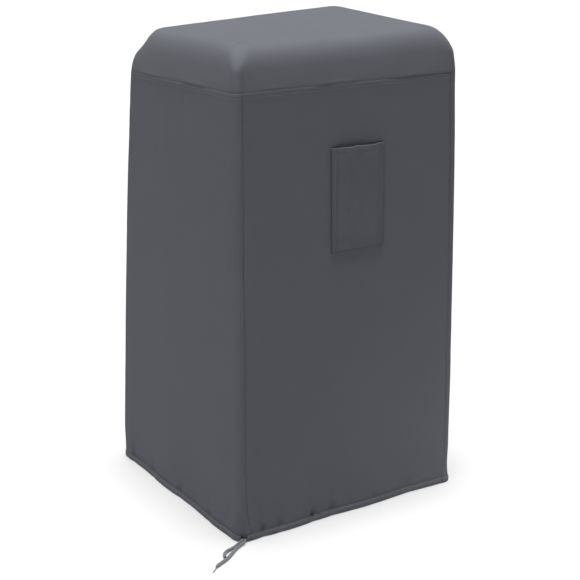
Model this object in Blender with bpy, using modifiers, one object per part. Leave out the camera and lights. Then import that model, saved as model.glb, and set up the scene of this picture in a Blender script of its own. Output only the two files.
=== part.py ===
"""Air conditioner cover: a fitted cloth cover, open below, that drops over a floor-standing appliance.

Metres, +Z up. The hem stands on Z = 0, and the origin is under the middle of the cover.
The broad wall with the pocket faces -Y. The eyelet and the tie are at the corner of -X and -Y.
"""

from math import cos, exp, pi, radians, sin

import bmesh
import bpy
from mathutils import Matrix, Vector

# The box that the cloth fits, at the hem and at the top
HEIGHT = 0.800
HALF_WIDTH_HEM, HALF_WIDTH_TOP = 0.2224, 0.2096
HALF_DEPTH_HEM, HALF_DEPTH_TOP = 0.2064, 0.1723
BOW = 0.0023                # how far the walls stand out where they are fullest
BOW_CROWN = 0.6             # height of the fullest part, as a share of the whole
TOP_SAG = 0.004             # dip in the middle of the top

# Cloth, seams and hem
CLOTH = 0.002
GAP = 0.0003                # between pieces that touch
CAP_DEPTH = 0.072           # from the top down to the cap's seam
SEAM_LIP = 0.003            # from the end of the rounded corner to its seam
HEM_HEIGHT = 0.012          # the stitch line over the floor
HEM_THICK = 0.0050          # folded cloth with the drawstring in it
HEM_THIN = 0.0030           # folded cloth at the stitch line
HEM_ROLL = 0.0014           # how far the hem stands out from the wall
STITCH_DIP = 0.0003         # how far the stitch line draws the cloth in
STITCH_SETTLE = 0.005       # height over which the cloth leaves the stitch line

# Roundings
CORNER_RADIUS = 0.012       # upright corners
HEM_CORNER_RADIUS = 0.020   # at the hem, where the drawstring pulls them blunt
BLUNT_HEIGHT = 0.070        # height over which the corner grows blunt
TOP_ROUND = 0.038           # the soft top edge
CAP_CORNER_RADIUS = 0.020   # half way round the top edge

# How far each corner of the cloth stands from the plain box's corner:
# signs of x and y, then the shift at the hem (x, y) and at the top (x, y, z)
CORNERS = {
    "near": (-1, -1, (0.0033, -0.0032), (0.0100, -0.0056, 0.0061)),
    "right": (1, -1, (-0.0047, 0.0025), (0.0088, -0.0075, 0.0001)),
    "far": (1, 1, (0.0040, -0.0030), (0.0090, -0.0059, 0.0040)),
    "left": (-1, 1, (-0.0041, 0.0033), (0.0075, -0.0068, -0.0127)),
}
LIFT_START = 0.4            # height over which a top corner's rise or drop begins

# Where the cloth of a corner has fallen in, or stands out where the number is below 0:
# signs of x and y, height, how far inwards and down, and its reach
PINCHES = (
    (-1, 1, 0.7955, 0.0131, 0.0051, 0.0314),
    (1, -1, 0.0, -0.0036, 0.0, 0.026),
)

# Puckers that the drawstring makes: place along the wall from its middle, depth, half width
PUCKERS = {
    "front": (
        (-0.175, 0.0026, 0.008), (-0.141, 0.0020, 0.007), (-0.0745, 0.0032, 0.008),
        (-0.0346, 0.0022, 0.007), (0.052, 0.0012, 0.009), (0.128, 0.0016, 0.008),
    ),
    "right": ((-0.120, 0.0018, 0.008), (-0.020, 0.0024, 0.009), (0.095, 0.0020, 0.008)),
    "back": (
        (-0.150, 0.0018, 0.008), (-0.040, 0.0026, 0.009), (0.060, 0.0016, 0.008), (0.140, 0.0022, 0.008),
    ),
    "left": (
        (-0.160, 0.0026, 0.008), (-0.085, 0.0014, 0.008), (0.010, 0.0018, 0.009), (0.110, 0.0014, 0.008),
    ),
}
PUCKER_RISE = 0.022         # how far a pucker runs up the wall
PUCKER_AT_FLOOR = 0.35      # its share at the floor
SWELL = 0.0016              # slow waves of the cloth above the hem
SWELL_LENGTH = 0.170
SWELL_RISE = 0.160
CORNER_CALM = 0.020         # stretch beside a corner where puckers and waves die away
SIDES = ("front", "right", "back", "left")

# Rows and columns of the walls
HEM_ROWS = (0.0, 0.0035, 0.0085, HEM_HEIGHT, 0.017, 0.030, 0.052, 0.090)
WALL_ROWS = 7               # even rows above those
WALL_COLUMNS = 10           # even columns of a wall's flat part
CORNER_COLUMNS = 5
PUCKER_SPREAD = 1.3         # a pucker's outer columns, in half widths from its middle
COLUMN_ROOM = 0.018         # least distance between an even column and a pucker's, as a share

# Rings of the cap, from its seam to the flat top
DROP_RINGS = 2
ROUND_RINGS = 5
CAP_COLUMNS, CAP_ROWS = 8, 7
CORNER_CROWDING = 1.5       # how much closer a ring's points stand near its corners

# Patch pocket on the front wall
POCKET_X = (-0.0393, 0.0622)
POCKET_Z = (0.459, 0.6295)
POCKET_COLUMNS, POCKET_ROWS = 10, 12
POCKET_SWELL = 0.0030       # how far its middle stands off the wall
POCKET_GAPE = 0.0075        # how far its mouth stands open
POCKET_FULLNESS = 0.8       # under 1 the swelling starts steeply at the sewn edges
POCKET_FOOT = 0.2           # share of the height over which it swells from its bottom seam
POCKET_OPENS = 0.45         # share of the height from which it gapes
POCKET_HEM_REACH = 0.012    # folded edge of the mouth, with the cloth that leaves it
POCKET_HEM_THICK = 0.003

# Eyelet in the hem, and the two ends of the drawstring
EYELET_STATION = 7.68       # how far round the plan it sits, near the middle of the corner
EYELET_HEIGHT = 0.0072
EYELET_FLANGE_RADIUS = 0.0060
EYELET_HOLE_RADIUS = 0.0040
EYELET_BARREL_RADIUS = 0.0046
EYELET_FLANGE = 0.0008
EYELET_DEPTH = 0.0034
EYELET_ROUNDING = 0.0004
CORD_DIAMETER = 0.0055
CORD_STEP = 0.0035          # distance between the points of a cord's tube
CURVE_STEPS = 12            # steps of the smooth curve between two points of a route

# Routes of the two ends from the eyelet, in millimetres:
# outwards, aside, height over the floor, share of the full diameter
SHORT_END_ROUTE = (
    (-2.4, -1.9, 6.6, 0.64), (0.6, -2.0, 6.5, 0.64), (4.0, -3.2, 6.1, 0.68), (7.6, -6.0, 5.3, 0.74),
    (11.5, -9.6, 4.3, 0.80), (15.8, -13.2, 3.4, 0.84), (20.4, -16.9, 2.9, 0.88), (25.0, -21.0, 2.8, 0.94),
    (29.2, -25.2, 2.8, 1.0), (33.8, -28.8, 2.8, 1.0), (38.6, -31.0, 2.8, 1.0), (43.6, -32.0, 2.8, 1.0),
    (48.0, -32.0, 2.8, 0.94), (51.4, -31.6, 2.8, 0.84),
)
LONG_END_ROUTE = (
    (-2.4, 1.9, 6.6, 0.64), (0.6, 1.9, 6.4, 0.64), (4.4, 1.6, 5.6, 0.70), (8.8, -0.6, 4.4, 0.78),
    (13.2, -4.4, 3.3, 0.84), (18.6, -8.9, 2.8, 0.88), (25.4, -13.2, 2.8, 0.96), (32.4, -16.6, 2.8, 1.0),
    (38.7, -19.3, 2.8, 1.0), (45.5, -22.3, 2.8, 1.0), (52.7, -25.7, 2.8, 1.0), (59.6, -29.8, 2.8, 1.0),
    (65.8, -34.2, 2.8, 1.0), (71.6, -38.6, 2.8, 1.0), (77.0, -42.4, 2.8, 1.0), (80.4, -44.4, 2.6, 0.85),
    (82.8, -45.4, 2.1, 0.50), (85.2, -46.2, 1.6, 0.34), (90.0, -48.0, 1.2, 0.28), (95.0, -50.4, 1.2, 0.26),
)

CLOTH_COLOUR = (0.085, 0.087, 0.096)
EYELET_COLOUR = (0.030, 0.031, 0.035)
CORD_COLOUR = (0.085, 0.088, 0.100)
CLOTH_ROUGHNESS, CORD_ROUGHNESS = 0.75, 0.80
EYELET_ROUGHNESS, EYELET_METALLIC = 0.35, 0.8
EYELET_STEPS, HOLE_SIDES = 24, 20
FOLD_ANGLE = 50.0           # edges sharper than this, in degrees, stay sharp


def mix(low, high, share):
    """The value that lies the given share of the way from low to high."""
    return low + (high - low) * share


def hold(value, low, high):
    """The value, kept between two limits."""
    return min(max(value, low), high)


def ease(share):
    """A share held to 0..1, with soft ends."""
    share = hold(share, 0.0, 1.0)
    return share * share * (3.0 - 2.0 * share)


def hump(distance, half_width):
    """A soft bump of height 1 around zero."""
    return exp(-((distance / half_width) ** 2))


def half_sizes(z):
    """Half width and half depth of the cover at a height, with the walls' soft bow."""
    share = z / HEIGHT
    room = BOW_CROWN if share < BOW_CROWN else 1.0 - BOW_CROWN
    bow = BOW * max(0.0, 1.0 - ((share - BOW_CROWN) / room) ** 2)
    half_width = mix(HALF_WIDTH_HEM, HALF_WIDTH_TOP, share) + bow
    half_depth = mix(HALF_DEPTH_HEM, HALF_DEPTH_TOP, share) + bow
    return half_width, half_depth


def corner_radius(z):
    """Radius of the upright corners, which grow blunt towards the hem."""
    return mix(HEM_CORNER_RADIUS, CORNER_RADIUS, ease(z / BLUNT_HEIGHT))


def outline(station, half_width, half_depth, radius):
    """Point and outward normal on the rounded rectangle.

    Stations 0 to 1 run along the front from -X to +X, 1 to 2 round the next corner, and so on to 8.
    """
    station %= 8.0
    side, share = int(station) // 2, station % 2.0
    signs = ((1, -1), (1, 1), (-1, 1), (-1, -1))
    centres = [Vector((sx * (half_width - radius), sy * (half_depth - radius))) for sx, sy in signs]
    facing = radians(90.0 * side - 90.0)
    if share <= 1.0:
        normal = Vector((cos(facing), sin(facing)))
        point = centres[side - 1].lerp(centres[side], share) + normal * radius
    else:
        turn = facing + (share - 1.0) * pi / 2.0
        normal = Vector((cos(turn), sin(turn)))
        point = centres[side] + normal * radius
    return point, normal


def corner_shift(point, z):
    """How far the cloth at a point is pulled by the shifts of the four corners."""
    half_width, half_depth = half_sizes(z)
    u = hold(point.x / half_width, -1.0, 1.0)
    v = hold(point.y / half_depth, -1.0, 1.0)
    rise = z / HEIGHT
    lift = ease((z - LIFT_START) / (HEIGHT - LIFT_START))
    shift = Vector((0.0, 0.0, 0.0))
    for sign_x, sign_y, hem, top in CORNERS.values():
        weight = (1.0 + sign_x * u) * (1.0 + sign_y * v) / 4.0
        shift += weight * (1.0 - rise) * Vector((*hem, 0.0))
        shift += weight * Vector((top[0] * rise, top[1] * rise, top[2] * lift))
    for sign_x, sign_y, height, inwards, down, reach in PINCHES:
        corner = Vector((sign_x * half_width, sign_y * half_depth, height))
        fall = hump((Vector((point.x, point.y, z)) - corner).length, reach)
        shift -= fall * Vector((sign_x * inwards, sign_y * inwards, down))
    return shift


def pucker(side, along, z):
    """How far the drawstring and the slow waves move a wall outwards, at a place along it."""
    above = max(z - HEM_HEIGHT, 0.0) / PUCKER_RISE
    below = max(HEM_HEIGHT - z, 0.0) / HEM_HEIGHT
    reach = exp(-above) * mix(1.0, PUCKER_AT_FLOOR, below)
    pinch = sum(depth * hump(along - place, width) for place, depth, width in PUCKERS[side])
    wave = SWELL * sin(2.0 * pi * along / SWELL_LENGTH + SIDES.index(side)) * exp(-z / SWELL_RISE)
    return wave - pinch * reach


def corner_calm(side, point, half_width, half_depth):
    """1 on a wall, easing to 0 at its two upright corners."""
    room = half_width - abs(point.x) if side in ("front", "back") else half_depth - abs(point.y)
    return ease((room - HEM_CORNER_RADIUS) / CORNER_CALM)


def hem_profile(z):
    """Outward swelling of the hem, and the thickness of the cloth, at a height."""
    if z >= HEM_HEIGHT:
        settle = ease((z - HEM_HEIGHT) / STITCH_SETTLE)
        return mix(-STITCH_DIP, 0.0, settle), mix(HEM_THIN, CLOTH, settle)
    roll = sin(pi * (z + CLOTH) / (HEM_HEIGHT + CLOTH))
    return HEM_ROLL * roll, mix(HEM_THIN, HEM_THICK, roll)


def on_wall(station, z, out=0.0, inner=False):
    """Point of the hung cloth: on its outer face moved out, or on its inner face."""
    half_width, half_depth = half_sizes(z)
    point, normal = outline(station, half_width, half_depth, corner_radius(z))
    move, thickness = hem_profile(z)
    move += out
    if station % 2.0 <= 1.0:
        side = SIDES[int(station % 8.0) // 2]
        along = {"front": point.x, "right": point.y, "back": -point.x, "left": -point.y}[side]
        move += pucker(side, along, z) * corner_calm(side, point, half_width, half_depth)
    if inner:
        move -= thickness
    moved = point + normal * move
    return Vector((moved.x, moved.y, z)) + corner_shift(point, z)


def flat_length(side, z):
    """Length of a wall's flat part at a height."""
    half_width, half_depth = half_sizes(z)
    half = half_width if side in ("front", "back") else half_depth
    return 2.0 * (half - corner_radius(z))


def material(name, colour, roughness, metallic=0.0):
    """A plain material with the sub-part's own colour."""
    made = bpy.data.materials.new(name)
    made.use_nodes = True
    shader = made.node_tree.nodes["Principled BSDF"]
    shader.inputs["Base Color"].default_value = (*colour, 1.0)
    shader.inputs["Roughness"].default_value = roughness
    shader.inputs["Metallic"].default_value = metallic
    made.diffuse_color = (*colour, 1.0)
    return made


def add_object(name, data, made_of, collection):
    """Put a mesh or a curve in the scene as a named object."""
    data.materials.append(made_of)
    thing = bpy.data.objects.new(name, data)
    collection.objects.link(thing)
    return thing


def hung_sheet(name, columns, rows, place, made_of, collection):
    """A closed sheet of cloth: a flat grid given a second face, then hung by place(column, row, inner)."""
    form = bmesh.new()
    bmesh.ops.create_grid(form, x_segments=columns, y_segments=rows, size=0.5)
    raised = bmesh.ops.extrude_face_region(form, geom=form.faces[:])
    back = {item for item in raised["geom"] if isinstance(item, bmesh.types.BMVert)}
    for vertex in form.verts:
        column = round((vertex.co.x + 0.5) * columns)
        row = round((vertex.co.y + 0.5) * rows)
        vertex.co = place(column, row, vertex in back)
    bmesh.ops.recalc_face_normals(form, faces=form.faces[:])
    mesh = bpy.data.meshes.new(name)
    form.to_mesh(mesh)
    form.free()
    mesh.shade_smooth()
    mesh.set_sharp_from_angle(angle=radians(FOLD_ANGLE))
    return add_object(name, mesh, made_of, collection)


def wall_rows():
    """Heights of a wall's rows, from the hem to the cap's seam."""
    top = HEIGHT - CAP_DEPTH - GAP
    return list(HEM_ROWS) + [mix(HEM_ROWS[-1], top, (step + 1) / WALL_ROWS) for step in range(WALL_ROWS)]


def flat_shares(side):
    """Places of the columns along a wall's flat part: even ones, and three for each pucker."""
    length = flat_length(side, 0.0)
    extra = []
    for place, _, width in PUCKERS[side]:
        extra += [(place + spread * width) / length + 0.5 for spread in (-PUCKER_SPREAD, 0.0, PUCKER_SPREAD)]
    shares = list(extra)
    for column in range(WALL_COLUMNS + 1):
        share = column / WALL_COLUMNS
        if share in (0.0, 1.0) or all(abs(share - other) > COLUMN_ROOM for other in extra):
            shares.append(share)
    return sorted(shares)


def hung_wall(name, stations, made_of, collection):
    """A wall from its stations, hung from the cap's seam down to the floor."""
    rows = wall_rows()

    def place(column, row, inner):
        return on_wall(stations[column], rows[row], inner=inner)

    return hung_sheet(name, len(stations) - 1, len(rows) - 1, place, made_of, collection)


def broad_wall(name, side, made_of, collection):
    """The front or the back: flat cloth between the two seams beside its corners."""
    first = 2 * SIDES.index(side)
    inset = (SEAM_LIP + GAP / 2.0) / flat_length(side, HEIGHT / 2.0)
    stations = [first + mix(inset, 1.0 - inset, share) for share in flat_shares(side)]
    return hung_wall(name, stations, made_of, collection)


def narrow_wall(name, side, made_of, collection):
    """A side: flat cloth that wraps both of its corners and ends at the seams on the broad walls."""
    first = 2 * SIDES.index(side)
    lip = (SEAM_LIP - GAP / 2.0) / flat_length("front", HEIGHT / 2.0)
    turn = [column / CORNER_COLUMNS for column in range(CORNER_COLUMNS)]
    stations = [first - 1 - lip] + [first - 1 + share for share in turn]
    stations += [first + share for share in flat_shares(side)]
    stations += [first + 2 - share for share in reversed(turn)] + [first + 2 + lip]
    return hung_wall(name, stations, made_of, collection)


def cap_rings():
    """Rings of the cap from its seam up: inset from the wall, height, tilt of the cloth, corner radius."""
    seam = HEIGHT - CAP_DEPTH
    start = HEIGHT - TOP_ROUND
    rings = [(0.0, mix(seam, start, step / DROP_RINGS), 0.0, CORNER_RADIUS) for step in range(DROP_RINGS)]
    for step in range(ROUND_RINGS + 1):
        tilt = step / ROUND_RINGS * pi / 2.0
        radius = mix(CORNER_RADIUS, CAP_CORNER_RADIUS, sin(2.0 * tilt))
        rings.append((TOP_ROUND * (1.0 - cos(tilt)), start + TOP_ROUND * sin(tilt), tilt, radius))
    return rings


def along_ring(step, last, ring, border, half, flat_half, radius):
    """Place along one side of a cap ring, from the side's middle, and the turn into the corner.

    Lines inside the flat top keep their own place. The others share out the way to the corner.
    """
    if border <= step <= last - border:
        return mix(-flat_half, flat_half, (step - border) / (last - 2 * border)), 0.0
    sign = -1.0 if step < border else 1.0
    past_flat = border - min(step, last - step)
    share = 1.0 - (1.0 - past_flat / (border - ring)) ** CORNER_CROWDING
    straight = max(half - radius - flat_half, 0.0)
    way = share * (straight + radius * pi / 4.0)
    turn = max(way - straight, 0.0) / radius
    return sign * (flat_half + min(way, straight)), turn


def ring_point(side_sign, along, turn, half_across, half_along, radius):
    """Point and outward normal on a cap ring, as across and along one of its sides."""
    reach = half_along - radius
    normal = Vector((side_sign * cos(turn), (1.0 if along > 0.0 else -1.0) * sin(turn)))
    base = Vector((side_sign * (half_across - radius), hold(along, -reach, reach)))
    return base + normal * radius, normal


def top_panel(made_of, collection):
    """The cap: flat top, soft rounded edge and the band down to the seam."""
    rings = cap_rings()
    border = len(rings) - 1
    columns, rows = CAP_COLUMNS + 2 * border, CAP_ROWS + 2 * border
    flat_x = HALF_WIDTH_TOP - TOP_ROUND
    flat_y = HALF_DEPTH_TOP - TOP_ROUND

    def place(column, row, inner):
        ring = min(column, columns - column, row, rows - row, border)
        inset, z, tilt, radius = rings[ring]
        half_width, half_depth = (half - inset for half in half_sizes(z))
        x, turn_x = along_ring(column, columns, ring, border, half_width, flat_x, radius)
        y, turn_y = along_ring(row, rows, ring, border, half_depth, flat_y, radius)
        dip = 0.0
        if ring == border:
            point, normal = Vector((x, y)), Vector((0.0, 0.0))
            dip = TOP_SAG * (1.0 - (x / flat_x) ** 2) * (1.0 - (y / flat_y) ** 2)
        elif ring in (column, columns - column):
            sign = 1.0 if column > columns / 2 else -1.0
            point, normal = ring_point(sign, y, turn_y, half_width, half_depth, radius)
        else:
            sign = 1.0 if row > rows / 2 else -1.0
            point, normal = ring_point(sign, x, turn_x, half_depth, half_width, radius)
            point, normal = point.yx, normal.yx
        facing = Vector((normal.x * cos(tilt), normal.y * cos(tilt), sin(tilt)))
        outer = Vector((point.x, point.y, z - dip)) + corner_shift(point, z)
        return outer - facing * CLOTH if inner else outer

    return hung_sheet("top_panel", columns, rows, place, made_of, collection)


def pocket(made_of, collection):
    """The patch pocket: flat at its sewn edges, fuller in the middle, its mouth a little open."""

    def place(column, row, inner):
        across = 2.0 * column / POCKET_COLUMNS - 1.0
        up = row / POCKET_ROWS
        x = mix(*POCKET_X, column / POCKET_COLUMNS)
        z = mix(*POCKET_Z, up)
        full = (1.0 - across ** 2) ** POCKET_FULLNESS
        gape = ease((up - POCKET_OPENS) / (1.0 - POCKET_OPENS))
        swell = mix(POCKET_SWELL * ease(up / POCKET_FOOT), POCKET_GAPE, gape)
        folded = z > POCKET_Z[1] - POCKET_HEM_REACH
        thickness = POCKET_HEM_THICK if folded else CLOTH
        out = GAP + full * swell + (0.0 if inner else thickness)
        half = flat_length("front", z) / 2.0
        return on_wall((x + half) / (2.0 * half), z, out=out)

    return hung_sheet("pocket", POCKET_COLUMNS, POCKET_ROWS, place, made_of, collection)


def eyelet_frame():
    """Centre of the eyelet on the hem's outer face, its outward direction and the direction aside."""
    half_width, half_depth = half_sizes(EYELET_HEIGHT)
    normal = outline(EYELET_STATION, half_width, half_depth, corner_radius(EYELET_HEIGHT))[1]
    return on_wall(EYELET_STATION, EYELET_HEIGHT), normal.to_3d(), Vector((-normal.y, normal.x, 0.0))


def turned(name, profile, steps, made_of, collection):
    """A closed profile of (radius, height) turned round Z."""
    form = bmesh.new()
    corners = [form.verts.new((radius, 0.0, height)) for radius, height in profile]
    for start, end in zip(corners, corners[1:]):
        form.edges.new((start, end))
    mesh = bpy.data.meshes.new(name)
    form.to_mesh(mesh)
    form.free()
    thing = add_object(name, mesh, made_of, collection)
    screw = thing.modifiers.new("turn", "SCREW")
    screw.steps = steps
    screw.render_steps = steps
    screw.use_merge_vertices = True
    screw.merge_threshold = 0.00001
    screw.use_normal_calculate = True
    return thing


def cut_hole(cloth, radius, depth, stand, cutters):
    """Cut a round hole through cloth, with a hidden cylinder that stands where the hole goes."""
    form = bmesh.new()
    bmesh.ops.create_cone(form, cap_ends=True, segments=HOLE_SIDES, radius1=radius, radius2=radius, depth=2.0 * depth)
    mesh = bpy.data.meshes.new("eyelet_hole")
    form.to_mesh(mesh)
    form.free()
    cutter = bpy.data.objects.new("eyelet_hole", mesh)
    cutters.objects.link(cutter)
    cutter.matrix_world = stand
    cutter.hide_render = True
    cutter.display_type = "WIRE"
    cut = cloth.modifiers.new("eyelet_hole", "BOOLEAN")
    cut.operation = "DIFFERENCE"
    cut.object = cutter


def eyelet(made_of, cloth, collection, cutters):
    """The eyelet: a flange on the hem with a short barrel in it, and the hole that it sits in."""
    centre, outward, aside = eyelet_frame()
    turn = Matrix((aside, outward.cross(aside), outward)).transposed().to_4x4()
    stand = Matrix.Translation(centre + outward * GAP) @ turn
    hole, barrel, rim = EYELET_HOLE_RADIUS, EYELET_BARREL_RADIUS, EYELET_FLANGE_RADIUS
    profile = [
        (hole, -EYELET_DEPTH), (barrel, -EYELET_DEPTH), (barrel, 0.0), (rim, 0.0),
        (rim, EYELET_ROUNDING), (rim - EYELET_ROUNDING, EYELET_FLANGE), (hole + EYELET_ROUNDING, EYELET_FLANGE),
        (hole, EYELET_ROUNDING), (hole, -EYELET_DEPTH),
    ]
    ring = turned("eyelet", profile, EYELET_STEPS, made_of, collection)
    ring.matrix_world = stand
    cut_hole(cloth, barrel + GAP, EYELET_DEPTH + 2.0 * GAP, stand, cutters)


def smooth_route(points, step):
    """Points a step apart on a smooth curve through the route's own points."""
    dense = []
    last = len(points) - 1
    for index in range(last):
        before, start = points[max(index - 1, 0)], points[index]
        end, after = points[index + 1], points[min(index + 2, last)]
        for count in range(CURVE_STEPS):
            t = count / CURVE_STEPS
            bend = 2.0 * before - 5.0 * start + 4.0 * end - after
            twist = 3.0 * start - before - 3.0 * end + after
            dense.append(start + 0.5 * ((end - before) * t + bend * t ** 2 + twist * t ** 3))
    kept = [points[0]]
    for point in dense:
        if (point - kept[-1]).xyz.length >= step:
            kept.append(point)
    if (kept[-1] - points[last]).xyz.length < step / 2.0:
        kept.pop()
    return kept + [points[last]]


def cord(name, route, made_of, collection):
    """One free end of the drawstring, as a tube along its route."""
    centre, outward, aside = eyelet_frame()
    points = []
    for out, across, height, share in route:
        place = centre + (outward * out + aside * across) / 1000.0
        points.append(Vector((place.x, place.y, height / 1000.0, share)))
    smooth = smooth_route(points, CORD_STEP)
    curve = bpy.data.curves.new(name, "CURVE")
    curve.dimensions = "3D"
    curve.bevel_depth = CORD_DIAMETER / 2.0
    curve.bevel_resolution = 2
    curve.use_fill_caps = True
    spline = curve.splines.new("POLY")
    spline.points.add(len(smooth) - 1)
    for point, place in zip(spline.points, smooth):
        point.co = (place.x, place.y, place.z, 1.0)
        point.radius = place.w
    add_object(name, curve, made_of, collection)


def main():
    for old in list(bpy.data.objects):
        bpy.data.objects.remove(old, do_unlink=True)
    collection = bpy.data.collections.new("air_conditioner_cover")
    cutters = bpy.data.collections.new("cutters")
    bpy.context.scene.collection.children.link(collection)
    bpy.context.scene.collection.children.link(cutters)

    top_panel(material("top_cloth", CLOTH_COLOUR, CLOTH_ROUGHNESS), collection)
    broad_wall("front_panel", "front", material("front_cloth", CLOTH_COLOUR, CLOTH_ROUGHNESS), collection)
    narrow_wall("right_panel", "right", material("right_cloth", CLOTH_COLOUR, CLOTH_ROUGHNESS), collection)
    broad_wall("back_panel", "back", material("back_cloth", CLOTH_COLOUR, CLOTH_ROUGHNESS), collection)
    left = narrow_wall("left_panel", "left", material("left_cloth", CLOTH_COLOUR, CLOTH_ROUGHNESS), collection)
    pocket(material("pocket_cloth", CLOTH_COLOUR, CLOTH_ROUGHNESS), collection)
    eyelet(material("eyelet_metal", EYELET_COLOUR, EYELET_ROUGHNESS, EYELET_METALLIC), left, collection, cutters)
    cord("tie_short_end", SHORT_END_ROUTE, material("short_end_cord", CORD_COLOUR, CORD_ROUGHNESS), collection)
    cord("tie_long_end", LONG_END_ROUTE, material("long_end_cord", CORD_COLOUR, CORD_ROUGHNESS), collection)


main()
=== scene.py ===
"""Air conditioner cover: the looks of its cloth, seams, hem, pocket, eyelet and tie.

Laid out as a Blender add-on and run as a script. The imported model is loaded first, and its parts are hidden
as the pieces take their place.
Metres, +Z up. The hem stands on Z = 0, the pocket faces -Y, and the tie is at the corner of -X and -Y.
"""

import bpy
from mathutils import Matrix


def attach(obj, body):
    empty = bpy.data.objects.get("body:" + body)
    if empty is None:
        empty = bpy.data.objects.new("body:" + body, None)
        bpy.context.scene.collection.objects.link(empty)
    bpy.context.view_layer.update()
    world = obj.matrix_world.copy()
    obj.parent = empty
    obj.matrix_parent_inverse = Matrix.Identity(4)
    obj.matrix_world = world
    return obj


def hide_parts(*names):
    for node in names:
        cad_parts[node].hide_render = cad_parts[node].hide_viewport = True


bl_info = {
    "name": "Air Conditioner Cover",
    "version": (1, 0, 0),
    "blender": (4, 5, 0),
    "location": "View3D > Sidebar > Cover",
    "description": "Builds a fitted cloth cover with its seams, hem, pocket, eyelet and tie",
    "category": "Object",
}

from math import cos, pi, radians, sin

import bmesh
import bpy
import numpy as np
from mathutils import Matrix, Vector

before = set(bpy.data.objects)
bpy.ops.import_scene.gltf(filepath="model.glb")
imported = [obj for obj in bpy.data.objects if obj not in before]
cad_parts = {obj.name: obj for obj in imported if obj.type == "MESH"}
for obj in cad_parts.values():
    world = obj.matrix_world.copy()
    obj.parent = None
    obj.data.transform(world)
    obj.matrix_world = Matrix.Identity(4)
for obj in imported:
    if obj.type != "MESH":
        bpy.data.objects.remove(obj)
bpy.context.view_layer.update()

# The box that the cloth fits, at the hem and at the top
HEIGHT = 0.800
HALF_WIDTH_HEM, HALF_WIDTH_TOP = 0.2224, 0.2096
HALF_DEPTH_HEM, HALF_DEPTH_TOP = 0.2064, 0.1723
BOW, BOW_CROWN = 0.0023, 0.6
TOP_SAG = 0.004
TOP_ROUND = 0.038
CAP_DEPTH = 0.072
CAP_SEAM = HEIGHT - CAP_DEPTH
# The softer profile of the cap's cloth: how it leans in above its seam, how tightly its edge turns,
# and the share of that softness that is left at the cap's corners
BAND_POWER, EDGE_POWER, SOFTNESS_AT_CORNER = 1.4, 3.0, 0.45
# How far the top has settled along the left part of its front edge, and between which places that
# grows: towards the front, towards the left, and away from the left corner
EDGE_FALL = 0.0045
FALL_FORWARD, FALL_LEFTWARD, FALL_AT_CORNER = (0.085, 0.160), (-0.160, 0.060), (-0.2156, -0.1856)
SEAM_LIP = 0.003            # from the end of the rounded corner to its seam
CORNER_RADIUS, HEM_CORNER_RADIUS, CAP_CORNER_RADIUS = 0.012, 0.020, 0.020
BLUNT_HEIGHT = 0.070
HEM_HEIGHT = 0.012
HEM_ROLL = 0.0014
HEM_BEND = 0.0023           # radius of the fold at the floor
HEM_INSIDE = 0.0024         # how far behind the wall's face the hem's inner leg is sewn
SEAM_STITCH_DROP = 0.0078   # from the cap's seam down to the stitches under it
# Relief of a wall under the cap's seam: distance below it, height, half width
UNDER_SEAM = ((0.0, -0.00015, 0.0012), (0.0042, 0.00008, 0.0026), (SEAM_STITCH_DROP, -0.00008, 0.0010))
# Relief of a wall beside an upright seam: height, half width
BESIDE_SEAM = ((-0.0003, 0.0012), (-0.0003, 0.0050))
# Soft waves of the cloth, broad and then fine: height, size
WALL_WAVES = ((0.00035, 0.085), (0.00012, 0.024))
CAP_WAVES = ((0.0004, 0.095), (0.00012, 0.026))
# Folds are painted in shade by their depth: at this depth the painted shade is about full
FULL_SHADE = 0.0022         # depth that makes a fold about fully dark

# How far each corner stands from the plain box's corner:
# signs of x and y, then the shift at the hem (x, y) and at the top (x, y, z)
CORNERS = (
    (-1, -1, (0.0033, -0.0032), (0.0100, -0.0056, 0.0061)),
    (1, -1, (-0.0047, 0.0025), (0.0088, -0.0075, 0.0001)),
    (1, 1, (0.0040, -0.0030), (0.0090, -0.0059, 0.0040)),
    (-1, 1, (-0.0041, 0.0033), (0.0075, -0.0068, -0.0127)),
)
LIFT_START = 0.4
# Where the cloth of a corner has fallen in, or stands out where the number is below 0:
# signs of x and y, height, how far inwards and down, and its reach
PINCHES = (
    (-1, 1, 0.7955, 0.0131, 0.0051, 0.0314),
    (1, -1, 0.0, -0.0036, 0.0, 0.026),
)

SIDES = ("front", "right", "back", "left")
# Puckers of the drawstring: place along the wall from its middle, depth, half width
PUCKERS = {
    "front": (
        (-0.175, 0.0026, 0.008), (-0.141, 0.0020, 0.007), (-0.0745, 0.0032, 0.008),
        (-0.0346, 0.0022, 0.007), (0.052, 0.0012, 0.009), (0.128, 0.0016, 0.008),
    ),
    "right": ((-0.120, 0.0018, 0.008), (-0.020, 0.0024, 0.009), (0.095, 0.0020, 0.008)),
    "back": (
        (-0.150, 0.0018, 0.008), (-0.040, 0.0026, 0.009), (0.060, 0.0016, 0.008), (0.140, 0.0022, 0.008),
    ),
    "left": (
        (-0.160, 0.0026, 0.008), (-0.085, 0.0014, 0.008), (0.010, 0.0018, 0.009), (0.110, 0.0014, 0.008),
    ),
}
PUCKER_RISE, PUCKER_AT_FLOOR = 0.022, 0.35
SWELL, SWELL_LENGTH, SWELL_RISE = 0.0016, 0.170, 0.160
CORNER_CALM = 0.020

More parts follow.
